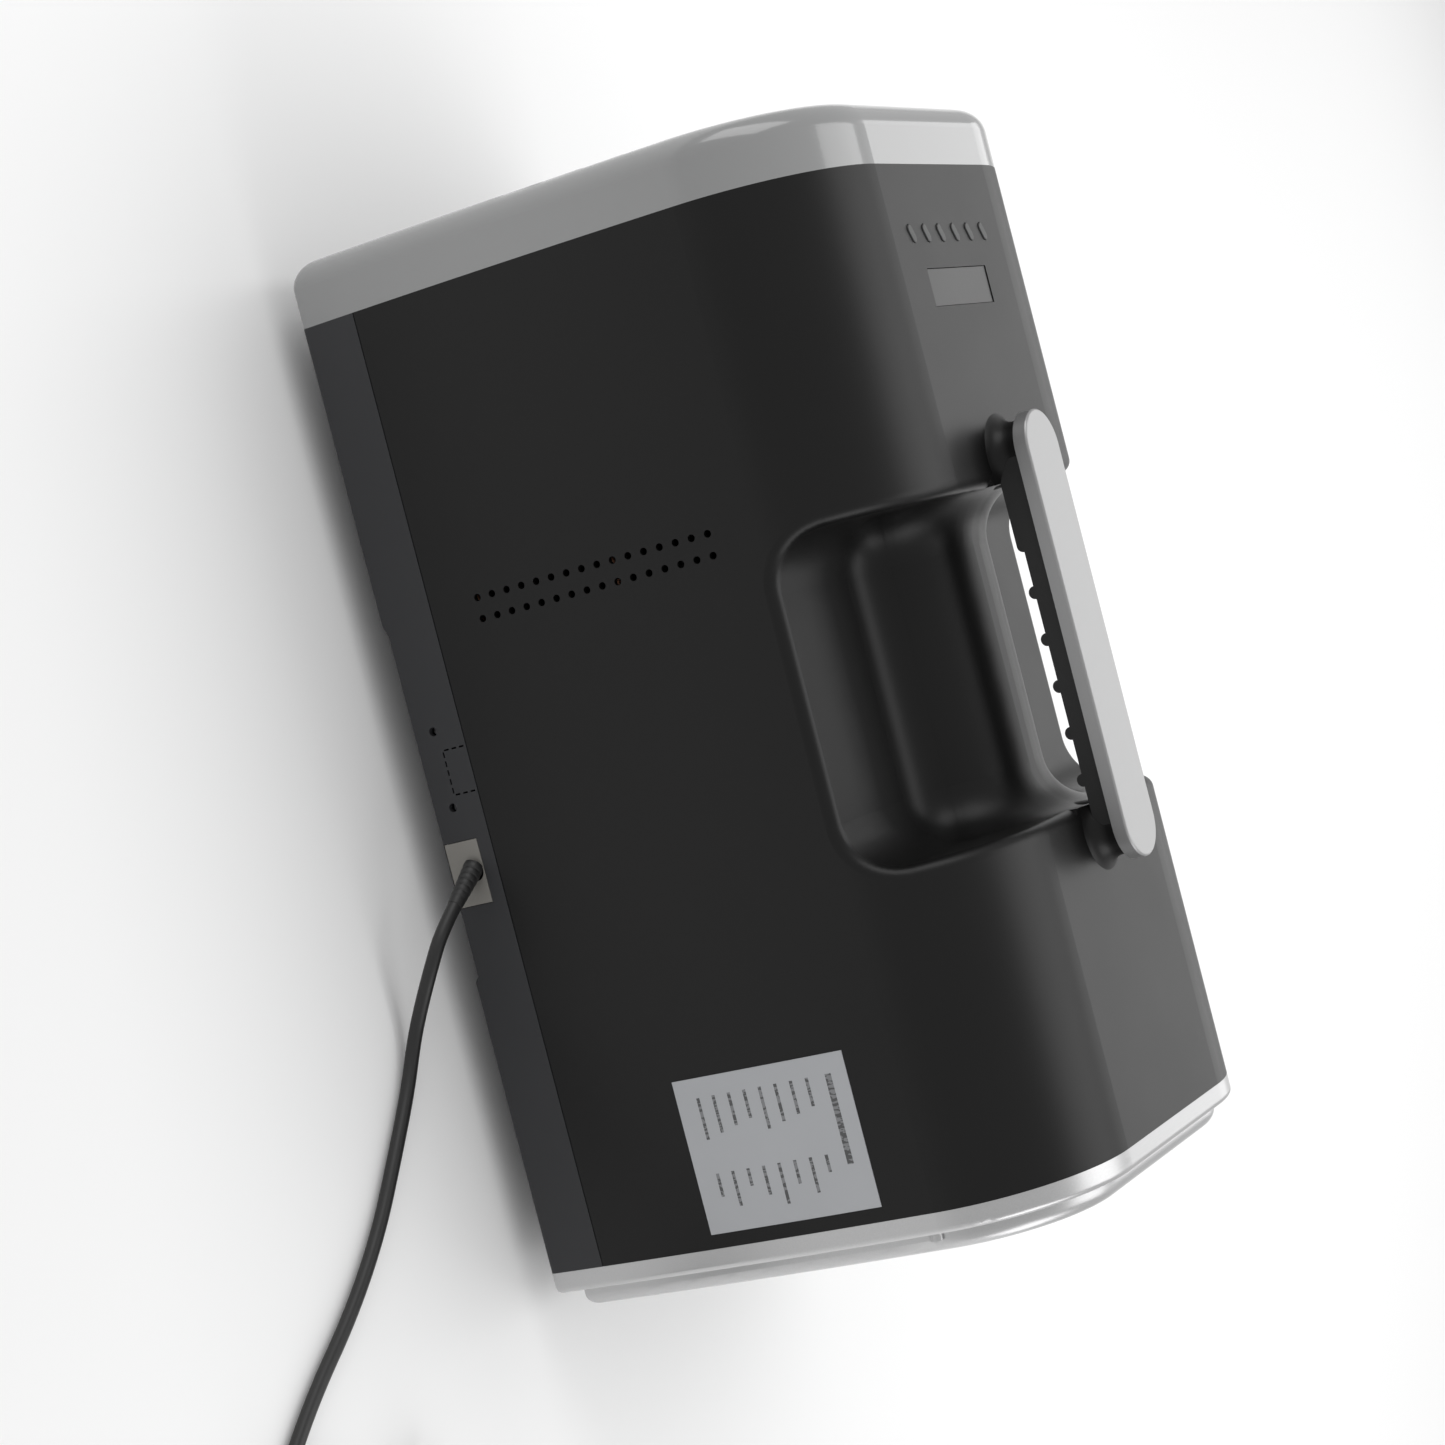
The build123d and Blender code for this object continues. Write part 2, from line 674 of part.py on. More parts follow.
fan_shroud.part.label = "fan_shroud"
export_step(fan_shroud.part, "parts/fan_shroud.step")

with BuildPart() as exhaust_motor:
    with BuildSketch(Plane.YZ.offset(motor_rear)):
        with Locations((0, duct_height)):
            Circle(motor_radius)
    extrude(amount=-motor_length)
    fillet(exhaust_motor.edges().filter_by(GeomType.CIRCLE), radius=4)
    add(rod((motor_rear, 0, duct_height), (fan_x + fan_width / 2, 0, duct_height), shaft_radius))
exhaust_motor.part.label = "exhaust_motor"
export_step(exhaust_motor.part, "parts/exhaust_motor.step")

with BuildPart() as exhaust_fan:
    with BuildSketch(Plane.YZ.offset(fan_x - fan_width / 2)):
        with Locations((0, duct_height)):
            Circle(fan_hub_radius)
    extrude(amount=fan_width + 2)
    for blade in range(fan_blades):
        turn = 360 * blade / fan_blades
        root = Plane(origin=(fan_x, 0, duct_height), x_dir=(1, 0, 0),
                     z_dir=(0, cos(radians(turn)), sin(radians(turn))))
        blade_length = fan_radius - fan_hub_radius + 4
        with BuildSketch(root.offset(fan_hub_radius - 4)):
            SlotOverall(fan_width * 0.95, fan_blade_thickness, rotation=fan_blade_pitch)
        extrude(amount=blade_length, taper=0)
    with BuildSketch(Plane.YZ.offset(fan_x - fan_width)):
        with Locations((0, duct_height)):
            Circle(2 * fan_radius)
            Circle(fan_radius, mode=Mode.SUBTRACT)
    extrude(amount=2 * fan_width, mode=Mode.SUBTRACT)
    add(rod((fan_x - fan_width, 0, duct_height), (fan_x + fan_width / 2 + shaft_gap, 0, duct_height),
            shaft_radius + shaft_gap), mode=Mode.SUBTRACT)
exhaust_fan.part.label = "exhaust_fan"
export_step(exhaust_fan.part, "parts/exhaust_fan.step")

grille_lap = 4.0           # how far the grille's backing laps behind the cover
grille_corner = 6.0
grille_back = 3 * cover_wall
slot_count = 7
slot_pitch = 8.0
slot_width = 4.4
slot_length = rear_intake_width - 8.0
rear_intake_middle = (rear_intake_low + rear_intake_high) / 2
rear_intake_height = rear_intake_high - rear_intake_low
with BuildPart() as rear_grille:
    with BuildSketch(Plane.YZ.offset(rear_face - grille_back)):
        with Locations((0, rear_intake_middle)):
            RectangleRounded(rear_intake_width + 2 * grille_lap, rear_intake_height + 2 * grille_lap,
                             grille_corner + grille_lap)
    extrude(amount=2 * cover_wall)
    with BuildSketch(Plane.YZ.offset(rear_face - cover_wall)):
        with Locations((0, rear_intake_middle)):
            RectangleRounded(rear_intake_width - 2 * fit_gap, rear_intake_height - 2 * fit_gap, grille_corner)
    extrude(amount=cover_wall - 2 * fit_gap)
    with BuildSketch(Plane.YZ.offset(rear_face)):
        with Locations((0, rear_intake_middle)):
            with GridLocations(1, slot_pitch, 1, slot_count):
                SlotOverall(slot_length, slot_width)
    extrude(amount=-2 * grille_back, mode=Mode.SUBTRACT)
rear_grille.part.label = "rear_grille"
export_step(rear_grille.part, "parts/rear_grille.step")

# --------------------------------------------------------------- heat exchangers
tube_radius = 3.5
tube_gap = 0.06
fin_thickness = 0.8
bend_out = 12.0


def finned_coil(place_x, depth, low, high, half_span, fins, rows):
    """A fin pack and the serpentine of tube through it; rows is the tube's passes."""
    pitch = (high - low) / rows
    heights = [low + pitch * (row + 0.5) for row in range(rows)]
    with BuildPart() as pack:
        with BuildSketch(Plane.XZ.offset(-half_span)):
            with Locations((place_x, (low + high) / 2)):
                Rectangle(depth, high - low)
            with Locations(*[(place_x, place) for place in heights]):
                Circle(tube_radius + tube_gap, mode=Mode.SUBTRACT)
        extrude(amount=fin_thickness)
    plate = pack.part
    step = (2 * half_span - fin_thickness) / (fins - 1)
    fin_pack = Compound(children=[plate.moved(Location((0, -step * index, 0))) for index in range(fins)])
    bend = pitch / 2 - tube_gap
    reach = half_span + 2 + bend
    path = []
    for row, place in enumerate(heights):
        sign = 1 if row % 2 else -1
        start = half_span + 6 if row == 0 else reach
        end = half_span + 6 if row + 1 == rows else reach
        path += [(place_x, sign * start, place), (place_x, -sign * end, place)]
    serpentine = tube_along(path, [bend] * (len(path) - 2), tube_radius)
    return fin_pack, serpentine, heights


coil_depth = 22.0
evaporator_x = body_front + 22.0
evaporator_low = 52.0
evaporator_high = 136.0
evaporator_half = 88.0
coil_fins = 23
coil_rows = 6
condenser_x = body_rear - 18.0
condenser_low = 40.0
condenser_high = 118.0
condenser_half = 92.0

evaporator_fins, evaporator_tube, evaporator_rows = finned_coil(
    evaporator_x, coil_depth, evaporator_low, evaporator_high, evaporator_half, coil_fins, coil_rows
)
condenser_fins, condenser_tube, condenser_rows = finned_coil(
    condenser_x, coil_depth, condenser_low, condenser_high, condenser_half, coil_fins, coil_rows
)
for fin_pack, serpentine, label in (
    (evaporator_fins, evaporator_tube, "evaporator"),
    (condenser_fins, condenser_tube, "condenser"),
):
    coil = Compound(children=[*fin_pack.solids(), *serpentine.solids()])
    coil.label = label
    export_step(coil, f"parts/{label}.step")

tray_wall = 1.8
tray_height = 14.0
with BuildPart() as drip_tray:
    tray_low = pan_bottom + pan_floor
    add(box_between((evaporator_x - 17, -100, tray_low), (evaporator_x + 24, 100, tray_low + tray_height)))
    add(
        box_between(
            (evaporator_x - 17 + tray_wall, tray_wall - 100, tray_low + tray_wall),
            (evaporator_x + 24 - tray_wall, 100 - tray_wall, far),
        ),
        mode=Mode.SUBTRACT,
    )
    for sign in (-1, 1):
        post_y = sign * (evaporator_half - 12)
        add(box_between((evaporator_x - 10, post_y - 3, tray_low + tray_wall / 2),
                        (evaporator_x + 10, post_y + 3, evaporator_low)))
drip_tray.part.label = "drip_tray"
export_step(drip_tray.part, "parts/drip_tray.step")

# ------------------------------------------------------------- bulkhead, blower
bulkhead_from_front = 130.0
bulkhead_thickness = 3.0
bulkhead_x = body_front + bulkhead_from_front
bulkhead_gap = 0.4
line_clearance = 6.0

wheel_x = body_front + 66.0
wheel_z = 196.0
wheel_radius = 36.0
wheel_half = 84.0
wheel_blades = 20
wheel_blade_depth = 9.0
wheel_blade_thickness = 1.4
wheel_blade_tilt = 35.0
wheel_disc = 3.0
bush_radius = 7.0
bush_length = 6.0
scroll_gap = 5.0
scroll_wall = 2.0
scroll_half = outlet_half - 2.0

with BuildPart() as blower_wheel:
    for place in (-wheel_half, -wheel_disc / 2, wheel_half - wheel_disc):
        add(rod((wheel_x, place, wheel_z), (wheel_x, place + wheel_disc, wheel_z), wheel_radius))
    blade_ring = wheel_radius - wheel_blade_depth / 2 - 0.5
    with BuildSketch(Plane.XZ.offset(-wheel_half + wheel_disc / 2)):
        with Locations((wheel_x, wheel_z)):
            with PolarLocations(blade_ring, wheel_blades):
                Rectangle(wheel_blade_depth, wheel_blade_thickness, rotation=wheel_blade_tilt)
    extrude(amount=2 * wheel_half - wheel_disc)
    add(rod((wheel_x, -wheel_half - 8, wheel_z), (wheel_x, -wheel_half, wheel_z), shaft_radius))
    add(rod((wheel_x, wheel_half, wheel_z), (wheel_x, wheel_half + 14, wheel_z), shaft_radius))
blower_wheel.part.label = "blower_wheel"
export_step(blower_wheel.part, "parts/blower_wheel.step")

scroll_radius = wheel_radius + scroll_gap
with BuildPart() as blower_scroll:
    with BuildSketch(Plane.XZ.offset(-scroll_half)):
        with Locations((wheel_x, wheel_z)):
            Circle(scroll_radius + scroll_wall)
            Circle(scroll_radius, mode=Mode.SUBTRACT)
        with Locations((wheel_x - far / 2, wheel_z)):
            Rectangle(far, 2 * far, mode=Mode.SUBTRACT)
        with Locations((wheel_x + 14, wheel_z - scroll_radius)):
            Rectangle(28, scroll_radius, mode=Mode.SUBTRACT)
    extrude(amount=2 * scroll_half)
    duct_end = panel_x + duct_depth + 1
    roof_low = wheel_z + scroll_radius
    add(box_between((duct_end, -scroll_half, roof_low), (wheel_x + 1, scroll_half, roof_low + scroll_wall)))
    floor_high = outlet_low - 1
    add(box_between((duct_end, -scroll_half, floor_high - scroll_wall),
                    (wheel_x - 16, scroll_half, floor_high)))
    for sign in (-1, 1):
        cheek_low = sign * scroll_half if sign < 0 else scroll_half - scroll_wall
        cheek = box_between(
            (duct_end, cheek_low, floor_high - scroll_wall),
            (wheel_x + scroll_radius + scroll_wall, cheek_low + scroll_wall, roof_low + scroll_wall),
        )
        cheek -= rod((wheel_x, -far, wheel_z), (wheel_x, far, wheel_z), bush_radius)
        add(cheek)
blower_scroll.part.label = "blower_scroll"
export_step(blower_scroll.part, "parts/blower_scroll.step")

blower_motor_radius = 24.0
blower_motor_length = 26.0
with BuildPart() as blower_motor:
    motor_low = scroll_half + 1.0
    add(rod((wheel_x, motor_low, wheel_z), (wheel_x, motor_low + blower_motor_length, wheel_z),
            blower_motor_radius))
    fillet(blower_motor.edges().filter_by(GeomType.CIRCLE), radius=3)
    add(rod((wheel_x, motor_low - 1, wheel_z), (wheel_x, wheel_half + 14.5, wheel_z),
            shaft_radius + shaft_gap), mode=Mode.SUBTRACT)
blower_motor.part.label = "blower_motor"
export_step(blower_motor.part, "parts/blower_motor.step")

# ---------------------------------------------------------- compressor and lines
compressor_x = body_mid + 6.0
compressor_y = 28.0
compressor_radius = 46.0
compressor_low = 42.0
compressor_high = 186.0
compressor_dome = 14.0
foot_plate = 3.0
grommet_radius = 9.0
stud_radius = 3.0
stud_circle = 60.0
accumulator_x = compressor_x + 68.0
accumulator_radius = 17.0
accumulator_low = 66.0
accumulator_high = 158.0
line_radius = 3.5
capillary_radius = 1.4

with BuildPart() as compressor:
    add(rod((compressor_x, compressor_y, compressor_low), (compressor_x, compressor_y, compressor_high),
            compressor_radius))
    fillet(compressor.edges().filter_by(GeomType.CIRCLE), radius=compressor_dome)
    with BuildSketch(Plane.XY.offset(compressor_low - foot_plate + 0.5)):
        with Locations((compressor_x, compressor_y)):
            with PolarLocations(stud_circle, 3, start_angle=90):
                Circle(grommet_radius + 3)
            Circle(compressor_radius - compressor_dome + 4)
        make_hull()
    extrude(amount=foot_plate)
    with Locations(*[
        (compressor_x + stud_circle * cos(radians(turn)), compressor_y + stud_circle * sin(radians(turn)),
         compressor_low + 0.5)
        for turn in (90, 210, 330)
    ]):
        Hole(grommet_radius / 2 + 0.1)
compressor.part.label = "compressor"
export_step(compressor.part, "parts/compressor.step")

with BuildPart() as compressor_grommets:
    for turn in (90, 210, 330):
        stud_x = compressor_x + stud_circle * cos(radians(turn))
        stud_y = compressor_y + stud_circle * sin(radians(turn))
        add(rod((stud_x, stud_y, pan_bottom + pan_floor + recess_step),
                (stud_x, stud_y, compressor_low - foot_plate + 0.5), grommet_radius))
        add(rod((stud_x, stud_y, compressor_low - foot_plate + 0.5),
                (stud_x, stud_y, compressor_low + 6), grommet_radius / 2))
        add(rod((stud_x, stud_y, compressor_low + 0.5), (stud_x, stud_y, compressor_low + 6), grommet_radius))
compressor_grommets.part.label = "compressor_grommets"
export_step(compressor_grommets.part, "parts/compressor_grommets.step")

with BuildPart() as accumulator:
    add(rod((accumulator_x, compressor_y, accumulator_low), (accumulator_x, compressor_y, accumulator_high),
            accumulator_radius))
    fillet(accumulator.edges().filter_by(GeomType.CIRCLE), radius=8)
accumulator.part.label = "accumulator"
export_step(accumulator.part, "parts/accumulator.step")

with BuildPart() as accumulator_strap:
    with BuildSketch(Plane.XY.offset((accumulator_low + accumulator_high) / 2 - 6)):
        with Locations((accumulator_x, compressor_y)):
            Circle(accumulator_radius + 1.6)
            Circle(accumulator_radius + fit_gap / 10, mode=Mode.SUBTRACT)
        strap_start = compressor_x + compressor_radius + fit_gap / 10
        strap_end = accumulator_x - accumulator_radius - 1
        with Locations(((strap_start + strap_end) / 2, compressor_y)):
            Rectangle(strap_end - strap_start, 6)
    extrude(amount=12)
accumulator_strap.part.label = "accumulator_strap"
export_step(accumulator_strap.part, "parts/accumulator_strap.step")

# Refrigerant lines: straight stretches with bends of three line radii.
side_run_y = -112.0        # the lines run along this side of the casing
coil_end_gap = 6.0         # a coil's tube ends this far past its fins
discharge_rise = 14.0
discharge_turn_y = -84.0
discharge_side_x = compressor_x + 60.0
discharge_side_z = 150.0
suction_rise = 18.0
suction_side_x = compressor_x + 9.0
suction_cross_y = -62.0
drier_radius = 9.0
drier_length = 60.0
drier_round = 2.0
drier_x = compressor_x + 109.0
drier_z = 50.0
liquid_entry_x = evaporator_x + 34.0

condenser_end = -condenser_half - coil_end_gap
evaporator_end = -evaporator_half - coil_end_gap
line_pieces = {
    "suction_line": (line_radius, [
        (evaporator_x, evaporator_end, evaporator_rows[-1]),
        (evaporator_x, side_run_y, evaporator_rows[-1]),
        (suction_side_x, side_run_y, evaporator_rows[-1] + 3),
        (accumulator_x, suction_cross_y - 2, evaporator_rows[-1] + 7),
        (accumulator_x, suction_cross_y, accumulator_high + suction_rise),
        (accumulator_x, compressor_y, accumulator_high + suction_rise),
        (accumulator_x, compressor_y, accumulator_high),
    ]),
    "discharge_line": (line_radius, [
        (compressor_x, compressor_y, compressor_high),
        (compressor_x, compressor_y, compressor_high + discharge_rise),
        (compressor_x, discharge_turn_y, compressor_high + discharge_rise),
        (discharge_side_x, discharge_turn_y - 22, discharge_side_z),
        (condenser_x, side_run_y, condenser_rows[-1]),
        (condenser_x, condenser_end, condenser_rows[-1]),
    ]),
    "drier_inlet": (line_radius, [
        (condenser_x, condenser_end, condenser_rows[0]),
        (condenser_x, side_run_y, condenser_rows[0]),
        (drier_x, side_run_y, drier_z),
    ]),
    "capillary_line": (capillary_radius, [
        (drier_x - drier_length, side_run_y, drier_z),
        (liquid_entry_x, side_run_y, evaporator_rows[0]),
        (evaporator_x, side_run_y + 4, evaporator_rows[0]),
        (evaporator_x, evaporator_end, evaporator_rows[0]),
    ]),
}
bend_radius = 3 * line_radius
drier_rod = rod((drier_x - drier_length, side_run_y, drier_z), (drier_x, side_run_y, drier_z), drier_radius)
lines = {
    label: tube_along(points, [bend_radius] * (len(points) - 2), radius)
    for label, (radius, points) in line_pieces.items()
}
liquid_line = Compound(children=[
    *(lines.pop("drier_inlet") - drier_rod).solids(),
    *(lines.pop("capillary_line") - drier_rod).solids(),
])
lines["liquid_line"] = liquid_line
for label, line in lines.items():
    line.label = label
    export_step(line, f"parts/{label}.step")

with BuildPart() as filter_drier:
    add(drier_rod)
    fillet(filter_drier.edges().filter_by(GeomType.CIRCLE), radius=drier_round)
filter_drier.part.label = "filter_drier"
export_step(filter_drier.part, "parts/filter_drier.step")

with BuildPart() as bulkhead:
    add(casing_block(bulkhead_x, bulkhead_x + bulkhead_thickness, wall + lip_wall + bulkhead_gap))
    with BuildSketch(Plane.YZ.offset(bulkhead_x)):
        with Locations((side_run_y, evaporator_rows[-1] + 2)):
            Circle(line_clearance)
        with Locations((side_run_y, (drier_z + evaporator_rows[0]) / 2 + 1)):
            Circle(line_clearance)
    extrude(amount=bulkhead_thickness, mode=Mode.SUBTRACT)
bulkhead.part.label = "bulkhead"
export_step(bulkhead.part, "parts/bulkhead.step")

with BuildPart() as wheel_bush:
    bush_end = -scroll_half - bush_length / 2
    with BuildSketch(Plane.XZ.offset(-bush_end)):
        with Locations((wheel_x, wheel_z)):
            Circle(bush_radius)
            Circle(shaft_radius + shaft_gap, mode=Mode.SUBTRACT)
    extrude(amount=-bush_length)
wheel_bush.part.label = "wheel_bush"
export_step(wheel_bush.part, "parts/wheel_bush.step")

# ------------------------------------------------------------------ electronics
box_x = -40.0
box_y = 103.0
box_size = (42.0, 38.0, 110.0)
box_low = 60.0
box_wall = 1.8
board_thickness = 1.6

with BuildPart() as power_box:
    add(box_between((box_x - box_size[0] / 2, box_y - box_size[1] / 2, box_low),
                    (box_x + box_size[0] / 2, box_y + box_size[1] / 2, box_low + box_size[2])))
    add(
        box_between(
            (box_x - box_size[0] / 2 + box_wall, -far, box_low + box_wall),
            (box_x + box_size[0] / 2 - box_wall, box_y + box_size[1] / 2 - box_wall,
             box_low + box_size[2] - box_wall),
        ),
        mode=Mode.SUBTRACT,
    )
    for sign in (-1, 1):
        leg_x = box_x + sign * (box_size[0] / 2 - 4)
        add(box_between((leg_x - 3, box_y - 3, pan_bottom + pan_floor + recess_step),
                        (leg_x + 3, box_y + 3, box_low)))
power_box.part.label = "power_box"
export_step(power_box.part, "parts/power_box.step")

board_y = box_y + box_size[1] / 2 - box_wall - 6.0
with BuildPart() as power_board:
    add(box_between((box_x - 18, board_y, box_low + 4), (box_x + 18, board_y + board_thickness, box_low + 106)))
    for step, (part_depth, part_size) in enumerate([(12, 13), (16, 11), (10, 14), (14, 9), (8, 12)]):
        part_z = box_low + 16 + 20 * step
        part_x = box_x + (-1) ** step * 6
        add(box_between((part_x - part_size / 2, board_y - part_depth, part_z - part_size / 2),
                        (part_x + part_size / 2, board_y, part_z + part_size / 2)))
power_board.part.label = "power_board"
export_step(power_board.part, "parts/power_board.step")

with BuildPart() as run_capacitor:
    add(rod((box_x, box_y - 40, pan_bottom + pan_floor + recess_step), (box_x, box_y - 40, box_low + 30), 15))
    fillet(run_capacitor.edges().filter_by(GeomType.CIRCLE), radius=2)
run_capacitor.part.label = "run_capacitor"
export_step(run_capacitor.part, "parts/run_capacitor.step")

# --------------------------------------------------------------- keys and window
key_flange = 1.3
key_rest = 0.2             # a key's flange hangs this far below the shell at rest
switch_height = 1.8
key_low = body_top - wall - key_rest - key_flange
board_low = key_low - key_travel - fit_gap - switch_height - board_thickness
key_places = [(step - (key_count - 1) / 2) * key_pitch for step in range(key_count)]

for step, place in enumerate(key_places):
    with BuildPart() as key:
        flange_high = key_low + key_flange
        with BuildSketch(Plane.XY.offset(flange_high - key_flange)):
            with Locations((key_x, place)):
                SlotOverall(key_length + 2.4, key_width + 2.4, rotation=key_slant)
        extrude(amount=key_flange)
        with BuildSketch(Plane.XY.offset(flange_high)):
            with Locations((key_x, place)):
                SlotOverall(key_length, key_width, rotation=key_slant)
        extrude(amount=body_top + key_proud - flange_high)
        fillet(key.faces().sort_by(Axis.Z)[-1].edges(), radius=0.5)
    key.part.label = f"key_{step + 1}"
    export_step(key.part, f"parts/key_{step + 1}.step")

with BuildPart() as display_window:
    with BuildSketch(Plane.XY.offset(body_top - wall - 1.2)):
        with Locations((window_x, 0)):
            Rectangle(window_depth + 3, window_length + 3)
    extrude(amount=1.2)
    with BuildSketch(Plane.XY.offset(body_top - wall)):
        with Locations((window_x, 0)):
            Rectangle(window_depth, window_length)
    extrude(amount=wall - 0.4)
display_window.part.label = "display_window"
export_step(display_window.part, "parts/display_window.step")

with BuildPart() as control_board:
    add(box_between((key_x - 9, -46, board_low), (window_x + 12, 46, board_low + board_thickness)))
    for place in key_places:
        add(box_between((key_x - 2.5, place - 2.5, board_low + board_thickness),
                        (key_x + 2.5, place + 2.5, board_low + board_thickness + switch_height)))
    add(box_between((window_x - 7, -30, board_low + board_thickness),
                    (window_x + 7, 30, board_low + board_thickness + 3)))
control_board.part.label = "control_board"
export_step(control_board.part, "parts/control_board.step")

# ------------------------------------------------------------------------ handle
screw_bite = 4.0
grip_bottom = plate_bottom - grip_height
bump_middle = body_mid + bump_shift
bump_places = [bump_middle + (step - (bump_count - 1) / 2) * bump_pitch for step in range(bump_count)]

with BuildPart() as handle_plate:
    with BuildSketch(Plane.XY.offset(plate_bottom)):
        with Locations((body_mid, 0)):
            SlotOverall(plate_length, plate_width)
    extrude(amount=plate_thickness)
    fillet(handle_plate.faces().sort_by(Axis.Z)[-1].edges(), radius=plate_edge)
    for place in boss_places:
        add(rod((place, 0, plate_bottom), (place, 0, plate_bottom + screw_bite + 0.2), screw_radius + 0.05),
            mode=Mode.SUBTRACT)
handle_plate.part.label = "handle_plate"
export_step(handle_plate.part, "parts/handle_plate.step")

with BuildPart() as handle_grip:
    add(box_between((boss_places[0], -grip_width / 2, grip_bottom),
                    (boss_places[1], grip_width / 2, plate_bottom)))
    add(box_between((boss_places[0], -grip_width / 2, grip_bottom - bump_radius),
                    (bump_places[0], grip_width / 2, grip_bottom)))
    for place in bump_places:
        add(rod((place, -grip_width / 2, grip_bottom), (place, grip_width / 2, grip_bottom), bump_radius))
    for place in boss_places:
        add(boss_block(place, fit_gap / 2), mode=Mode.SUBTRACT)
handle_grip.part.label = "handle_grip"
export_step(handle_grip.part, "parts/handle_grip.step")

# The casing screws share one node: two hold the handle plate down from inside,
# and two sit sunk in the base pan beside the knock-out.
pan_screw_sink = 1.2
pan_screw_length = 10.0
with BuildPart() as casing_screws:
    for place in boss_places:
        head_top = body_top - wall
        add(rod((place, 0, head_top - screw_head_height), (place, 0, head_top), screw_head))
        add(rod((place, 0, head_top), (place, 0, plate_bottom + screw_bite), screw_radius))
    for place in pan_screw_places:
        sunk_y = wall + pan_screw_sink - half_width
        add(rod((body_front + place, sunk_y, seam - pan_screw_drop),
                (body_front + place, sunk_y + pan_screw_length, seam - pan_screw_drop), screw_radius))
casing_screws.part.label = "casing_screws"
export_step(casing_screws.part, "parts/casing_screws.step")

# ------------------------------------------------------------------- rating plate
rating_length = 71.0
rating_height = 85.0
rating_low = 107.5
rating_gap = 6.7           # from the plate to the rear frame
rating_thickness = 0.35
rating_high_x = body_rear - rating_gap

rating_skin = casing_block(rating_high_x - rating_length, rating_high_x, -rating_thickness)
rating_skin -= casing_block(body_front, body_rear)
rating_skin &= box_between((-far, -far, rating_low), (far, 0, rating_low + rating_height))
rating_skin.label = "rating_plate"
export_step(rating_skin, "parts/rating_plate.step")

# -------------------------------------------------------------- drain and its plug
with BuildPart() as drain_spout:
    add(box_between((body_rear - 12, drain_y - drain_radius, pan_bottom + pan_floor),
                    (body_rear, drain_y + drain_radius, drain_height + drain_radius)))
    add(rod((body_rear, drain_y, drain_height), (rear_face - 4, drain_y, drain_height), drain_radius))
    add(rod((body_rear - 9, drain_y, drain_height), (rear_face, drain_y, drain_height), drain_bore),
        mode=Mode.SUBTRACT)
drain_spout.part.label = "drain_spout"
export_step(drain_spout.part, "parts/drain_spout.step")

with BuildPart() as drain_plug:
    add(rod((rear_face - 4, drain_y, drain_height), (rear_face - 0.4, drain_y, drain_height),
            drain_cap_radius))
    fillet(drain_plug.faces().sort_by(Axis.X)[-1].edges(), radius=1.5)
    add(rod((rear_face - drain_travel, drain_y, drain_height), (rear_face - 4, drain_y, drain_height),
            drain_bore - drain_gap))
drain_plug.part.label = "drain_plug"
export_step(drain_plug.part, "parts/drain_plug.step")

# ------------------------------------------------------------------- mains cord
gland_x = body_front + 260.0
gland_z = 34.0
gland_radius = 5.0
gland_tip_radius = 4.0
gland_length = 20.0
gland_root = 7.0
cord_radius = cord_diameter / 2
cord_rest = cord_radius + 0.2          # height of the cord's middle as it lies
gland_start = Vector(gland_x, -half_width - 2.5, gland_z)
gland_way = Vector(0.62, -0.77, -0.15).normalized()
gland_tip = gland_start + gland_way * gland_length

with BuildPart() as cord_plate:
    add(casing_block(cord_plate_x, cord_plate_x + cord_plate_length))
    add(casing_block(cord_plate_x, cord_plate_x + cord_plate_length, cord_plate_depth), mode=Mode.SUBTRACT)
    add(box_between((-far, -far, cord_plate_z), (far, 0, cord_plate_z + cord_plate_height)),
        mode=Mode.INTERSECT)
    add(rod((gland_x, -width, gland_z), (gland_x, 0, gland_z), gland_radius), mode=Mode.SUBTRACT)
cord_plate.part.label = "cord_plate"
export_step(cord_plate.part, "parts/cord_plate.step")

with BuildPart() as cord_gland:
    add(rod((gland_x, gland_root - half_width, gland_z), tuple(gland_start), gland_radius))
    with BuildSketch(Plane(origin=gland_start, z_dir=gland_way)):
        Circle(gland_radius)
    with BuildSketch(Plane(origin=gland_tip, z_dir=gland_way)):
        Circle(gland_tip_radius)
    loft()
    with Locations(tuple(gland_start)):
        Sphere(gland_radius)
cord_gland.part.label = "cord_gland"
export_step(cord_gland.part, "parts/cord_gland.step")

# The cord leaves the gland, drops to the floor and lies away behind the rear
# corner, where the spare length is wound into a neat coil.
coil_centre = (308.3, -336.5)
coil_turns = [28.4, 35.2, 42.0]        # middle of each turn, inside to outside
coil_layers = 2
coil_spacing = 6.8
cord_route = [
    tuple(gland_tip),
    tuple(gland_tip + gland_way * 16),
    (74.5, -176.5, 24.0),
    (90.0, -178.0, 14.6),
    (106.0, -180.0, 6.2),
    (126.0, -190.0, cord_rest),
    (152.0, -212.5, cord_rest),
    (180.0, -238.0, cord_rest),
    (206.0, -270.0, cord_rest),
    (229.0, -307.0, cord_rest),
    (252.0, -336.0, cord_rest),
    (275.0, -362.0, cord_rest),
]
runs = [(Vector(*end) - Vector(*start)) for start, end in zip(cord_route, cord_route[1:])]
cord_radii = [
    0.45 * min(before.length, after.length) / tan(radians(before.get_angle(after) / 2))
    for before, after in zip(runs, runs[1:])
]
print("cord bend radii", [round(radius, 1) for radius in cord_radii])
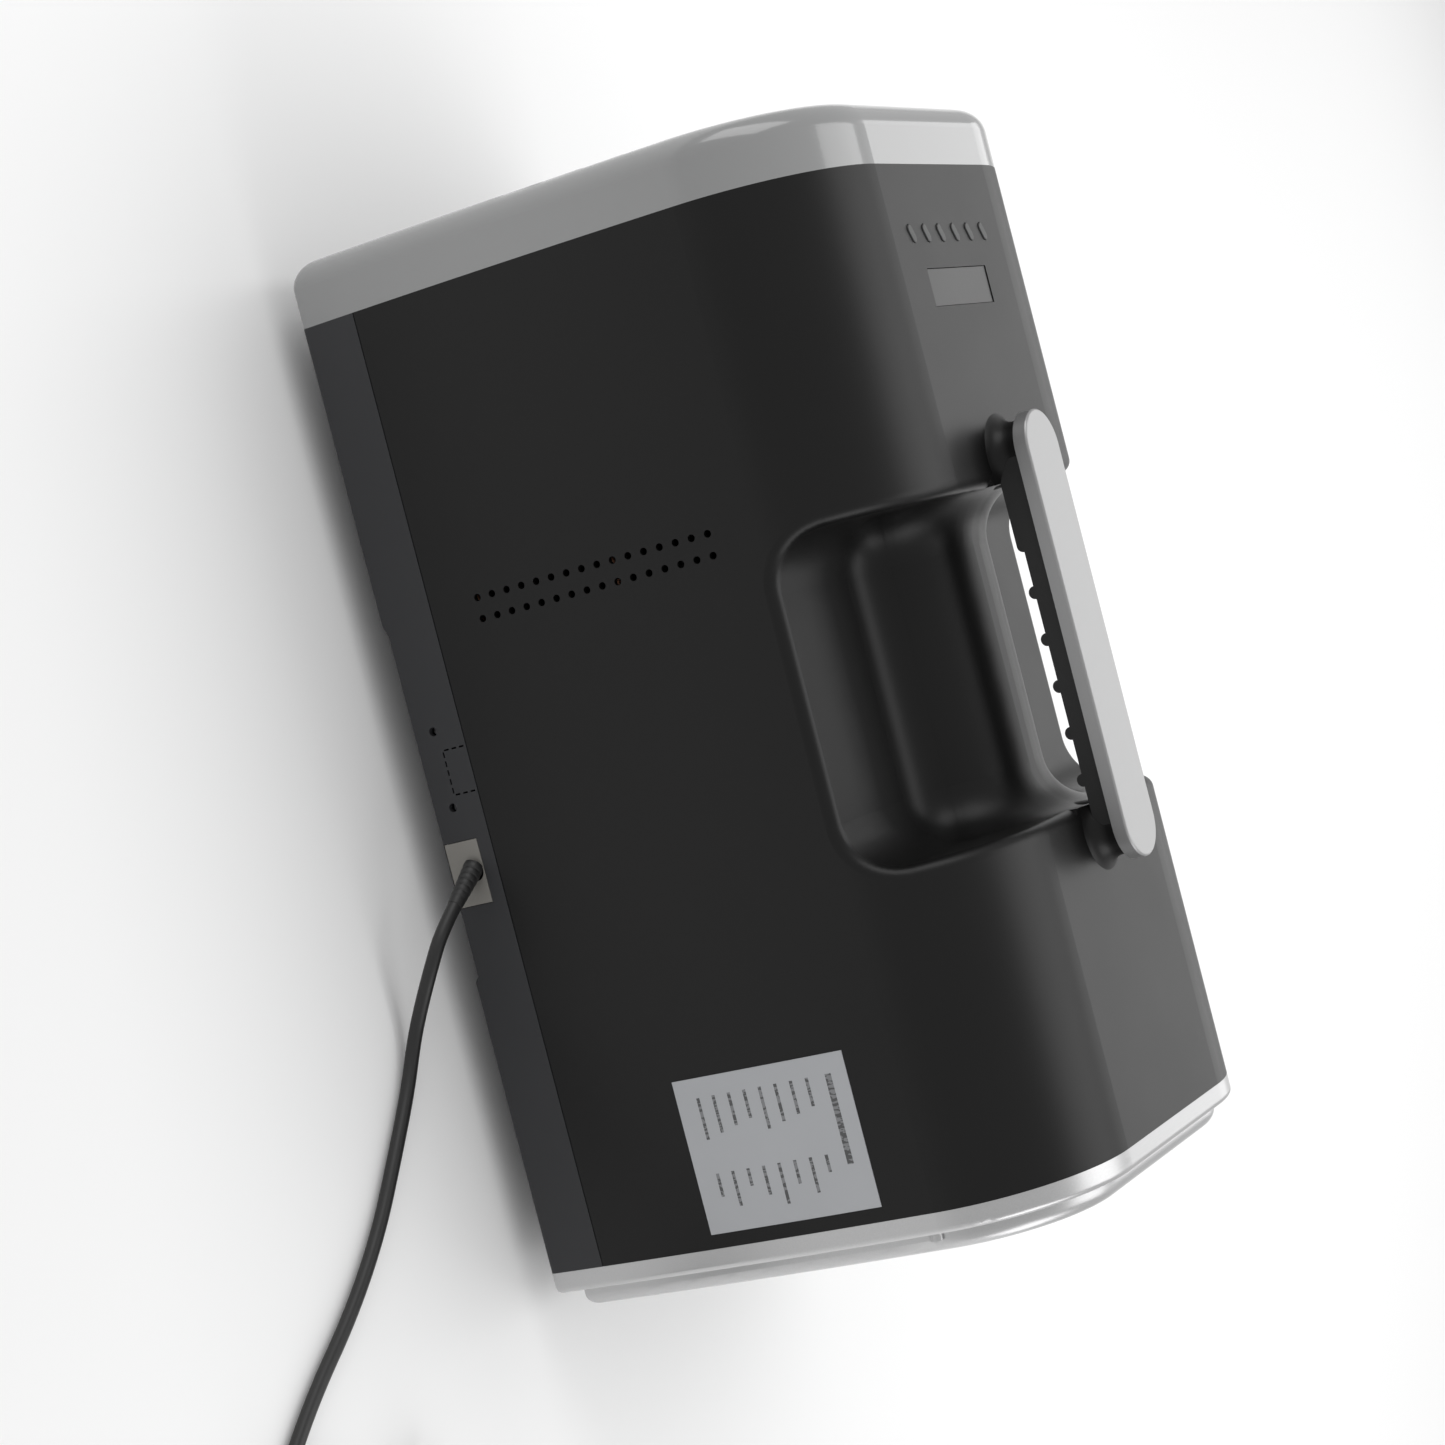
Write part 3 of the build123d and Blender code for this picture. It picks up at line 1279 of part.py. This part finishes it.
with BuildPart() as power_cord:
    with BuildLine() as cord_path:
        FilletPolyline(*cord_route, radius=cord_radii)
    with BuildSketch(Plane(origin=gland_tip, z_dir=gland_way)):
        Circle(cord_radius)
    sweep(path=cord_path.line)
    coil_outer = coil_turns[-1] + coil_spacing / 2
    with BuildSketch(Plane.XY):
        with Locations(coil_centre):
            Circle(coil_outer)
    extrude(amount=coil_layers * coil_spacing, mode=Mode.SUBTRACT)
cord_length = sum(edge.length for edge in cord_path.edges())
print("cord volume", round(power_cord.part.volume, 1), "section x length",
      round(pi * cord_radius**2 * cord_length, 1), "length", round(cord_length, 1))
power_cord.part.label = "power_cord"
export_step(power_cord.part, "parts/power_cord.step")

with BuildPart() as cord_coil:
    with BuildSketch(Plane.XY):
        with Locations(coil_centre):
            Circle(coil_outer)
            Circle(coil_turns[0] - coil_spacing / 2, mode=Mode.SUBTRACT)
    extrude(amount=coil_layers * coil_spacing)
cord_coil.part.label = "cord_coil"
export_step(cord_coil.part, "parts/cord_coil.step")

plug_height = 17.6
plug_width = 27.0
plug_length = 36.0
plug_tail = 24.0
plug_tail_radius = 4.6
plug_pin_radius = 2.0
plug_pin_length = 19.0
plug_pin_spacing = 19.0
plug_clear = 14.0          # from the last turn's end to the plug's tail
plug_turn = 37.4           # degrees, where the last turn leaves the coil
plug_start = Vector(
    coil_centre[0] + coil_turns[-1] * cos(radians(plug_turn)) - plug_clear * sin(radians(plug_turn)),
    coil_centre[1] + coil_turns[-1] * sin(radians(plug_turn)) + plug_clear * cos(radians(plug_turn)),
    plug_height / 2 + 0.2,
)
plug_way = Vector(-sin(radians(plug_turn)), cos(radians(plug_turn)), 0)
plug_flat = Plane(origin=plug_start, x_dir=(cos(radians(plug_turn)), sin(radians(plug_turn)), 0), z_dir=plug_way)

with BuildPart() as plug_body:
    with BuildSketch(plug_flat):
        Circle(cord_radius + 0.4)
    with BuildSketch(plug_flat.offset(plug_tail)):
        Circle(plug_tail_radius)
    loft()
    with BuildSketch(plug_flat.offset(plug_tail)):
        RectangleRounded(plug_width * 0.6, plug_height * 0.7, 4)
    with BuildSketch(plug_flat.offset(plug_tail + plug_length * 0.55)):
        RectangleRounded(plug_width, plug_height, 6)
    loft()
    with BuildSketch(plug_flat.offset(plug_tail + plug_length * 0.55)):
        RectangleRounded(plug_width, plug_height, 6)
    extrude(amount=plug_length * 0.45)
    with BuildSketch(Plane.XY):
        with Locations(coil_centre):
            Circle(coil_outer)
    extrude(amount=coil_layers * coil_spacing, mode=Mode.SUBTRACT)
plug_body.part.label = "plug_body"
export_step(plug_body.part, "parts/plug_body.step")

with BuildPart() as plug_pins:
    with BuildSketch(plug_flat.offset(plug_tail + plug_length)):
        with GridLocations(plug_pin_spacing, 1, 2, 1):
            Circle(plug_pin_radius)
    extrude(amount=plug_pin_length)
    fillet(plug_pins.faces().group_by(Axis(tuple(plug_start), tuple(plug_way)))[-1].edges(), radius=1.2)
plug_pins.part.label = "plug_pins"
export_step(plug_pins.part, "parts/plug_pins.step")
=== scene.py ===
# %% [markdown]
# # A small portable air conditioner
# The machine is a dark moulded tunnel on four feet, with a grey bezel in front, a
# silver cover behind and a bridge handle over a hand recess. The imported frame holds
# every hard piece at its true size. Here we give each one a finish, and make the
# things that a solid modeller leaves plain: the cord, its ringed strain relief and
# the printed bars on the data plate.

# %% Load the frame
import bpy
import math
import numpy as np
from mathutils import Matrix, Vector


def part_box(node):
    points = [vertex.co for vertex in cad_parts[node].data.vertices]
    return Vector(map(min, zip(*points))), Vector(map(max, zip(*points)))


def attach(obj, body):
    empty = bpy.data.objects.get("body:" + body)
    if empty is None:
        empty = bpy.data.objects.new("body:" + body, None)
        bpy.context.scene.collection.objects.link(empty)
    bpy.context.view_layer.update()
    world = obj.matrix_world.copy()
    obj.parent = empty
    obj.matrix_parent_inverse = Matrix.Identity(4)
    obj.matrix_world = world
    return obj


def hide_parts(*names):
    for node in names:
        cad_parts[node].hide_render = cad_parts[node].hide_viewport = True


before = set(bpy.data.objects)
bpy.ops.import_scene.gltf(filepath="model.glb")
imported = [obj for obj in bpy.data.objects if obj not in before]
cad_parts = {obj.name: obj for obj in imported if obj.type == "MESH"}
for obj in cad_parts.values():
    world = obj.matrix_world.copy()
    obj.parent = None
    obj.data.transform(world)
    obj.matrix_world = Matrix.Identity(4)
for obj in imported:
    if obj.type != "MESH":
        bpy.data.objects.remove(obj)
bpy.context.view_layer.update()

# %% [markdown]
# ## Camera
# The machine stands on a table, seen a little from above, and the camera is turned on
# its own axis, so that the long side runs down the view. A long lens keeps the
# sides nearly parallel. We write the view as pitch, yaw and roll around a target,
# because those are the three things a hand does when it holds a camera.

# %% Camera
TARGET = Vector((0.0051, 0.0, 0.1006))
DISTANCE = 1.545
PITCH, YAW, ROLL = (math.radians(angle) for angle in (29.72, 1.78, 13.71))
LENS, SENSOR = 79.2, 36.0


def camera_axes(pitch, yaw, roll):
    """Forward from pitch and yaw, then right and up turned about forward by a quarter turn less roll."""
    forward = Vector((math.sin(yaw) * math.cos(pitch), math.cos(yaw) * math.cos(pitch), -math.sin(pitch)))
    right = Vector((math.cos(yaw), -math.sin(yaw), 0.0))
    up = right.cross(forward)
    view_right = right * math.sin(roll) + up * math.cos(roll)
    view_up = up * math.sin(roll) - right * math.cos(roll)
    return view_right, view_up, forward


view_right, view_up, forward = camera_axes(PITCH, YAW, ROLL)
camera = bpy.data.objects.new("camera", bpy.data.cameras.new("camera"))
camera.data.lens = LENS
camera.data.sensor_width = SENSOR
turn = Matrix((view_right, view_up, -forward)).transposed().to_4x4()
camera.matrix_world = Matrix.Translation(TARGET - DISTANCE * forward) @ turn
bpy.context.scene.collection.objects.link(camera)
bpy.context.scene.camera = camera
print("camera stands at", [round(value, 3) for value in camera.matrix_world.translation])

# %% [markdown]
# ## The mains cord
# A real cord is a fixed length of something springy. It leaves its strain relief
# straight, drops to the table, wanders off in one lazy bend, and its spare length is
# wound up. One NURBS curve through a few chosen points gives that line without a
# kink. The coil's turns are worked out by a loop: each turn keeps its radius and
# steps over to the next one in a short stretch, as cord wound by hand does.

# %% Route of the cord
MM = 0.001
CORD_DIAMETER = 6.6 * MM
CORD_REST = 3.5 * MM
GLAND_START = Vector((40.0, -142.5, 34.0)) * MM
GLAND_WAY = Vector((0.62, -0.77, -0.15)).normalized()
GLAND_LENGTH = 20 * MM
gland_tip = GLAND_START + GLAND_WAY * GLAND_LENGTH
gland_beyond = gland_tip + GLAND_WAY * 16 * MM
cord_route = [
    tuple(gland_tip),
    tuple(gland_beyond),
    (0.0745, -0.1765, 0.0240),
    (0.0900, -0.1780, 0.0146),
    (0.1060, -0.1800, 0.0062),
    (0.1260, -0.1900, CORD_REST),
    (0.1520, -0.2125, CORD_REST),
    (0.1800, -0.2380, CORD_REST),
    (0.2060, -0.2700, CORD_REST),
    (0.2290, -0.3070, CORD_REST),
    (0.2520, -0.3360, CORD_REST),
    (0.2750, -0.3620, CORD_REST),
]

# %% Turns of the coil
COIL_CENTRE = (0.3083, -0.3365)
COIL_RADII = [42.0 * MM, 35.2 * MM, 28.4 * MM]
LAYER_RISE = 6.8 * MM
ENTRY_TURN = 217.4         # degrees, where the cord meets the coil
LEAVE_TURN = 37.4          # degrees, where it leaves for the plug
STEP_TURN = 60.0           # one turn steps over to the next within this much
POINT_TURN = 15.0


def coil_points():
    """Angle against radius and height as joined straight stretches, read every few degrees."""
    low, high = CORD_REST, CORD_REST + LAYER_RISE
    outer, middle, inner = COIL_RADII
    climb = LEAVE_TURN + STEP_TURN
    angles = [ENTRY_TURN]
    radii = [outer]
    heights = [low]

    def go(angle, radius, height):
        angles.append(angle)
        radii.append(radius)
        heights.append(height)

    for lap, radius in enumerate((outer, middle)):
        go(ENTRY_TURN - STEP_TURN + 360 * (lap + 1), radius, low)
        go(ENTRY_TURN + 360 * (lap + 1), (middle, inner)[lap], low)
    go(climb + 1080, inner, low)
    go(climb + STEP_TURN + 1080, inner, high)
    for lap, radius in enumerate((inner, middle)):
        go(LEAVE_TURN + 1440 + 360 * lap, radius, high)
        go(climb + 1440 + 360 * lap, (middle, outer)[lap], high)
    go(LEAVE_TURN + 2160, outer, high)
    turns = np.arange(angles[0] + POINT_TURN, angles[-1] + POINT_TURN / 2, POINT_TURN)
    radius = np.interp(turns, angles, radii)
    height = np.interp(turns, angles, heights)
    x = COIL_CENTRE[0] + radius * np.cos(np.radians(turns))
    y = COIL_CENTRE[1] + radius * np.sin(np.radians(turns))
    return [tuple(point) for point in np.stack([x, y, height], axis=1)]


PLUG_CLEAR = 14 * MM
PLUG_HEIGHT = 17.6 * MM
leave = math.radians(LEAVE_TURN)
plug_way = Vector((-math.sin(leave), math.cos(leave), 0.0))
plug_out = Vector((math.cos(leave), math.sin(leave), 0.0))
plug_start = Vector((*COIL_CENTRE, PLUG_HEIGHT / 2 + 0.2 * MM))
plug_start += plug_out * COIL_RADII[0] + plug_way * PLUG_CLEAR
cord_points = cord_route + coil_points()[:-1] + [tuple(plug_start)]
print("cord points:", len(cord_points))


# %% The cord itself
def nurbs_curve(name, points, radius):
    """A round tube along one open NURBS spline of order three, through its first and last point.

    The tube's radius sits on the points, so that the curve's own box fits the tube.
    """
    curve = bpy.data.curves.new(name, "CURVE")
    curve.dimensions = "3D"
    curve.bevel_depth = 1.0
    curve.bevel_resolution = 5
    curve.use_fill_caps = True
    spline = curve.splines.new("NURBS")
    spline.points.add(len(points) - 1)
    for control, point in zip(spline.points, points):
        control.co = (*point, 1.0)
        control.radius = radius
    spline.order_u = 3
    spline.use_endpoint_u = True
    spline.resolution_u = 8
    piece = bpy.data.objects.new(name, curve)
    bpy.context.scene.collection.objects.link(piece)
    return piece


cord = nurbs_curve("mains_cord", cord_points, CORD_DIAMETER / 2)
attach(cord, "casing")
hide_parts("power_cord", "cord_coil")

# %% [markdown]
# ## Writing shader maths as plain expressions
# A finish is a small sum: a base value, plus some noise, times a mask. Wrapping a
# node socket in a class with its own plus and times lets us write that sum as it is
# said, and every other node comes from one method, so a material reads like a recipe.


# %% Shader helper
class Value:
    """A number socket in one material; + - * and > build Math nodes."""

    def __init__(self, material, socket):
        self.material = material
        self.socket = socket

    def _maths(self, operation, first, second):
        return self.material.node("ShaderNodeMath", {"operation": operation}, [first, second])

    def __add__(self, other):
        return self._maths("ADD", self, other)

    def __mul__(self, other):
        return self._maths("MULTIPLY", self, other)

    def __sub__(self, other):
        return self._maths("SUBTRACT", self, other)

    def __rsub__(self, other):
        return self._maths("SUBTRACT", other, self)

    def __gt__(self, other):
        return self._maths("GREATER_THAN", self, other)

    def __lt__(self, other):
        return self._maths("LESS_THAN", self, other)

    __radd__ = __add__
    __rmul__ = __mul__


class Finish:
    """One material: a Principled shader with its constants, and the nodes that feed it."""

    def __init__(self, name, **constants):
        self.material = bpy.data.materials.new(name)
        self.material.use_nodes = True
        self.tree = self.material.node_tree
        self.shader = self.tree.nodes["Principled BSDF"]
        for socket, value in constants.items():
            words = socket.replace("_", " ").title().replace("Ior", "IOR")
            self.shader.inputs[words].default_value = value

    def node(self, kind, settings=None, inputs=(), output=0):
        """Makes one node, sets its settings first, then fills its sockets with values or links."""
        made = self.tree.nodes.new(kind)
        for key, value in (settings or {}).items():
            setattr(made, key, value)
        pairs = inputs.items() if isinstance(inputs, dict) else enumerate(inputs)
        for key, value in pairs:
            if isinstance(value, Value):
                self.tree.links.new(value.socket, made.inputs[key])
            elif value is not None:
                made.inputs[key].default_value = value
        return Value(self, made.outputs[output])

    def feed(self, socket, value):
        """Links a value into one socket of the shader."""
        self.tree.links.new(value.socket, self.shader.inputs[socket])

    def place(self):
        """The point on the object, in metres, from the node's Object output."""
        return self.node("ShaderNodeTexCoord", output=3)

    def noise(self, scale, detail=2.0, roughness=0.5, stretch=(1.0, 1.0, 1.0)):
        """Soft noise from 0 to 1, with its grain drawn out along an axis by stretch."""
        mapped = self.node("ShaderNodeMapping", {}, {"Vector": self.place(), "Scale": stretch})
        return self.node("ShaderNodeTexNoise", {},
                         {"Vector": mapped, "Scale": scale, "Detail": detail, "Roughness": roughness})

    def mix(self, factor, first, second):
        """Blends two colours, each four numbers or a colour socket, by a factor."""
        return self.node("ShaderNodeMix", {"data_type": "RGBA"}, {0: factor, 6: first, 7: second}, 2)

    def bump(self, height, strength, distance):
        """Presses a height pattern into the surface; distance is in metres."""
        pressed = self.node("ShaderNodeBump", {}, {"Height": height, "Strength": strength,
                                                   "Distance": distance})
        self.feed("Normal", pressed)


def grey(level, tint=(1.0, 1.0, 1.0)):
    """A grey of this level, leaning to a tint, as a colour with full alpha."""
    return (level * tint[0], level * tint[1], level * tint[2], 1.0)


def dress(finish, *nodes):
    """Gives the named frame pieces this finish."""
    for name in nodes:
        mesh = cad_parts[name].data
        mesh.materials.clear()
        mesh.materials.append(finish.material)


# %% [markdown]
# ## Moulded plastics
# Most of the machine is injection moulded. The casing's plastic is near black with a
# fine spark-eroded grain that scatters the light a little, so a soft light turns into
# a broad sheen. Handling leaves it a touch smoother in places. The grain is a fine
# noise as bump, the wear a large slow noise in the roughness.


# %% Moulded plastic
def moulded(name, dark, light, rough, rough_swing, grain=0.25, grain_scale=2600.0, **constants):
    """Plastic whose colour and roughness drift slowly between two limits, under a fine grain."""
    finish = Finish(name, **constants)
    drift = finish.noise(9.0, detail=4.0)
    finish.feed("Base Color", finish.mix(drift, dark, light))
    finish.feed("Roughness", rough + rough_swing * (finish.noise(24.0, detail=5.0) - 0.5))
    finish.bump(finish.noise(grain_scale, detail=2.0), grain, 0.00012)
    return finish


shell_black = moulded("shell_black", grey(0.0040), grey(0.0058, (1.0, 0.97, 0.97)), 0.38, 0.06,
                      specular_ior_level=0.26)
pan_grey = moulded("pan_grey", grey(0.016, (0.95, 0.98, 1.1)), grey(0.021, (0.95, 0.98, 1.1)), 0.62, 0.08)
grip_black = moulded("grip_black", grey(0.010), grey(0.014), 0.5, 0.08, grain=0.4, grain_scale=1800.0)
inner_black = moulded("inner_black", grey(0.012), grey(0.018), 0.55, 0.10)
panel_grey = moulded("panel_grey", grey(0.045), grey(0.055), 0.45, 0.08)
key_grey = moulded("key_grey", grey(0.020), grey(0.026), 0.42, 0.06)
plate_taupe = moulded("plate_taupe", grey(0.185, (1.0, 0.96, 0.88)), grey(0.215, (1.0, 0.96, 0.88)), 0.6, 0.1)
dress(shell_black, "upper_shell")
dress(pan_grey, "base_pan")
dress(grip_black, "handle_grip")
dress(inner_black, "intake_grille", "air_filter", "rear_grille", "duct_collar", "duct_guard", "fan_shroud",
      "exhaust_fan", "blower_wheel", "blower_scroll", "drip_tray", "bulkhead")
dress(panel_grey, "front_panel", "louvre_link", *[f"louvre_{step}" for step in range(1, 6)])
dress(key_grey, *[f"key_{step}" for step in range(1, 7)])
dress(plate_taupe, "cord_plate", "drain_spout")
print("moulded plastics done")

# %% [markdown]
# ## Glossy bezel and silver paint
# The front bezel is polished grey plastic under a clear coat, so it mirrors the room.
# The rear cover and the handle's plate are silver: metallic paint is tiny flakes in
# lacquer, which we get from a fine noise that tilts the surface a little and varies
# its brightness.


# %% Bezel and silver
bezel_grey = moulded("bezel_grey", grey(0.235, (1.0, 1.01, 1.01)), grey(0.26, (1.0, 1.01, 1.01)), 0.20, 0.05,
                     grain=0.04, coat_weight=0.6, coat_roughness=0.06)


def silver_paint(name, level, rough, flake_scale, metallic=0.75, stretch=(1.0, 1.0, 1.0)):
    """Metallic paint: flakes brighten and darken the silver and tilt it slightly."""
    finish = Finish(name, metallic=metallic, coat_weight=0.25, coat_roughness=0.15)
    flakes = finish.noise(flake_scale, detail=3.0, roughness=0.7, stretch=stretch)
    finish.feed("Base Color", finish.mix(flakes, grey(level * 0.86), grey(level * 1.08, (1.0, 1.0, 1.01))))
    finish.feed("Roughness", rough + 0.14 * (flakes - 0.5))
    finish.bump(flakes, 0.12, 0.00006)
    return finish


rear_silver = silver_paint("rear_silver", 0.50, 0.34, 1800.0, stretch=(1.0, 0.06, 1.0))
handle_silver = silver_paint("handle_silver", 0.36, 0.46, 2400.0)
dress(bezel_grey, "front_bezel")
dress(rear_silver, "rear_frame", "rear_cover")
dress(handle_silver, "handle_plate")

# %% [markdown]
# ## Rubber, metal and the parts inside
# Rubber is matt and slightly uneven. Copper, steel and aluminium share one recipe: a
# full metal whose roughness is streaked along the way it was drawn or rolled.


# %% Rubber and metals
rubber_black = moulded("rubber_black", grey(0.010), grey(0.016), 0.72, 0.12, grain=0.5, grain_scale=1400.0)
cord_black = moulded("cord_black", grey(0.009), grey(0.012), 0.46, 0.10, grain=0.3, grain_scale=1600.0)


def drawn_metal(name, colour, rough, streak=(1.0, 1.0, 12.0)):
    """Bare metal with fine streaks in its roughness and colour."""
    finish = Finish(name, metallic=1.0)
    streaks = finish.noise(220.0, detail=6.0, roughness=0.6, stretch=streak)
    darker = tuple(0.8 * part for part in colour[:3]) + (1.0,)
    finish.feed("Base Color", finish.mix(streaks, darker, colour))
    finish.feed("Roughness", rough + 0.18 * (streaks - 0.5))
    return finish


copper = drawn_metal("copper", (0.86, 0.42, 0.26, 1.0), 0.32)
steel = drawn_metal("steel", (0.56, 0.57, 0.58, 1.0), 0.36)
aluminium = drawn_metal("aluminium", (0.80, 0.81, 0.83, 1.0), 0.34)
pin_plate = drawn_metal("pin_plate", (0.78, 0.76, 0.70, 1.0), 0.22)
enamel_black = moulded("enamel_black", grey(0.010), grey(0.015), 0.30, 0.10, coat_weight=0.5)
board_green = moulded("board_green", (0.010, 0.075, 0.030, 1.0), (0.014, 0.095, 0.040, 1.0), 0.45, 0.1)
smoked = moulded("smoked", grey(0.0040), grey(0.0058), 0.34, 0.05, grain=0.1)
dress(rubber_black, "rubber_feet", "compressor_grommets", "wheel_bush", "drain_plug")
dress(cord_black, "plug_body")
dress(copper, "suction_line", "discharge_line", "liquid_line", "filter_drier")
dress(steel, "casing_screws", "accumulator_strap", "exhaust_motor", "blower_motor", "power_box",
      "run_capacitor")
dress(aluminium, "evaporator", "condenser")
dress(pin_plate, "plug_pins")
dress(enamel_black, "compressor", "accumulator")
dress(board_green, "power_board", "control_board")
dress(smoked, "display_window")
cord.data.materials.append(cord_black.material)
print("materials:", len(bpy.data.materials))

# %% [markdown]
# ## The strain relief
# Where the cord leaves the machine, a rubber sleeve keeps it from being bent sharply.
# It is a cone with rings moulded on it, so we carry a radius that falls along the
# sleeve and dips between the rings around the line that the cord leaves on.


# %% Strain relief
def swept_profile(name, start, way, distances, radii, sides=32):
    """A surface of revolution, start + d way + r(d) (cos t side + sin t other), with closed ends."""
    way = Vector(way).normalized()
    side = way.orthogonal().normalized()
    other = way.cross(side)
    turns = np.linspace(0, 2 * math.pi, sides, endpoint=False)
    ring = np.outer(np.cos(turns), side) + np.outer(np.sin(turns), other)
    centres = np.array(start) + np.outer(distances, way)
    points = centres[:, None, :] + radii[:, None, None] * ring[None, :, :]
    rows = len(distances)
    row, column = np.meshgrid(np.arange(rows - 1), np.arange(sides), indexing="ij")
    here = row * sides + column
    beside = row * sides + (column + 1) % sides
    quads = np.stack([here, beside, beside + sides, here + sides], axis=-1).reshape(-1, 4)
    faces = quads.tolist() + [list(range(sides))[::-1], list(range((rows - 1) * sides, rows * sides))]
    mesh = bpy.data.meshes.new(name)
    mesh.from_pydata(points.reshape(-1, 3).tolist(), [], faces)
    mesh.polygons.foreach_set("use_smooth", [len(face) == 4 for face in faces])
    mesh.update()
    piece = bpy.data.objects.new(name, mesh)
    bpy.context.scene.collection.objects.link(piece)
    return piece


SLEEVE_ROOT = 4.9 * MM
SLEEVE_TIP = 3.75 * MM
RING_PITCH = 3.2 * MM
RING_RISE = 0.35 * MM
SLEEVE_START = -3.5 * MM
along = np.linspace(SLEEVE_START, GLAND_LENGTH, 96)
fall = (along - SLEEVE_START) / (GLAND_LENGTH - SLEEVE_START)
taper = SLEEVE_ROOT + (SLEEVE_TIP - SLEEVE_ROOT) * fall
rings = RING_RISE * np.sqrt(np.abs(np.sin(math.pi * along / RING_PITCH))) * (1 - fall ** 4)
sleeve = swept_profile("strain_relief", GLAND_START, GLAND_WAY, along, taper + rings - RING_RISE)
sleeve.data.materials.append(cord_black.material)
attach(sleeve, "casing")
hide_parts("cord_gland")
print("strain relief is", round((GLAND_LENGTH - SLEEVE_START) / MM, 1), "mm long")

# %% [markdown]
# ## The data plate
# The real plate is silver film with rows of small print. A print is a colour, not a
# shape, so it belongs in the material. We draw rows of plain grey bars: a title, and
# under it a column of short bars and a column of values, each row a little different
# in length. They say nothing, which is the point.

# %% Data plate
plate_low, plate_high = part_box("rating_plate")
PLATE_MARGIN = 0.009
VALUE_COLUMN = 0.044
TITLE_END = 0.050
TITLE_HEIGHT = 0.0030
TITLE_GAP = 0.0105
ROW_PITCH = 0.0078
ROW_HEIGHT = 0.0016
ROWS = 8
data_plate = Finish("data_plate", coat_weight=0.1)
where = data_plate.place()
across = data_plate.node("ShaderNodeSeparateXYZ", {}, [where], 0)
upward = data_plate.node("ShaderNodeSeparateXYZ", {}, [where], 2)


def bar(x_start, x_end, z_middle, thickness):
    """One where a point lies inside an upright rectangle in X and Z, else nought."""
    wide = (across > x_start) * (across < x_end)
    high = (upward > z_middle - thickness / 2) * (upward < z_middle + thickness / 2)
    return wide * high


title_z = plate_high[2] - PLATE_MARGIN
first_column = plate_low[0] + PLATE_MARGIN
value_column = plate_low[0] + VALUE_COLUMN
ink = bar(first_column, plate_low[0] + TITLE_END, title_z, TITLE_HEIGHT)
for row in range(ROWS):
    row_z = title_z - TITLE_GAP - ROW_PITCH * row
    first_length = 0.013 + 0.0021 * ((row * 5) % 4)
    value_length = 0.008 + 0.0027 * ((row * 3) % 5)
    ink = ink + bar(first_column, first_column + first_length, row_z, ROW_HEIGHT)
    ink = ink + bar(value_column, value_column + value_length, row_z, ROW_HEIGHT)
blots = data_plate.noise(900.0, detail=1.0, stretch=(1.0, 1.0, 0.3))
film = data_plate.mix(data_plate.noise(14.0, detail=3.0), grey(0.36, (0.97, 0.99, 1.03)),
                      grey(0.44, (0.97, 0.99, 1.03)))
data_plate.feed("Base Color", data_plate.mix(ink * (0.55 + 0.35 * (blots > 0.5)), film, grey(0.03)))
data_plate.feed("Roughness", 0.36 + 0.1 * data_plate.noise(30.0))
dress(data_plate, "rating_plate")
print("printed rows:", ROWS)

# %% [markdown]
# ## Floor and light
# A pale table and a big soft box on each side, as in a small studio. The broad light
# high on the handle's side draws the long sheen down the rounded shoulder.


# %% Floor, world and lights
floor_mesh = bpy.data.meshes.new("floor")
FLOOR_REACH = 6.0
floor_mesh.from_pydata([(-FLOOR_REACH, -FLOOR_REACH, 0), (FLOOR_REACH, -FLOOR_REACH, 0),
                        (FLOOR_REACH, FLOOR_REACH, 0), (-FLOOR_REACH, FLOOR_REACH, 0)], [], [(0, 1, 2, 3)])
floor = bpy.data.objects.new("floor", floor_mesh)
bpy.context.scene.collection.objects.link(floor)
floor_paint = Finish("floor_paint", roughness=0.85, base_color=(0.90, 0.90, 0.90, 1.0))
floor_mesh.materials.append(floor_paint.material)

world = bpy.data.worlds.new("studio")
bpy.context.scene.world = world
world.use_nodes = True
world.node_tree.nodes["Background"].inputs["Color"].default_value = (1.0, 1.0, 1.0, 1.0)
world.node_tree.nodes["Background"].inputs["Strength"].default_value = 0.62
bpy.context.scene.view_settings.view_transform = "Standard"


def soft_box(name, place, aim, width, height, power):
    """A rectangular area light at a place, turned towards a point."""
    lamp = bpy.data.lights.new(name, "AREA")
    lamp.shape = "RECTANGLE"
    lamp.size = width
    lamp.size_y = height
    lamp.energy = power
    stand = bpy.data.objects.new(name, lamp)
    stand.location = place
    stand.rotation_euler = (Vector(aim) - Vector(place)).to_track_quat("-Z", "Y").to_euler()
    bpy.context.scene.collection.objects.link(stand)


soft_box("overhead", (0.1, 0.55, 1.5), (0.0, 0.0, 0.2), 1.6, 1.0, 10.0)
soft_box("left_side", (-1.6, -0.5, 0.9), (0.0, 0.0, 0.1), 1.0, 1.2, 9.0)
soft_box("right_side", (1.7, -0.3, 0.8), (0.0, 0.0, 0.1), 1.0, 1.2, 9.0)
soft_box("back_fill", (0.0, 2.0, 0.9), (0.0, 0.0, 0.15), 1.6, 0.8, 6.0)
print("lights:", len(bpy.data.lights))
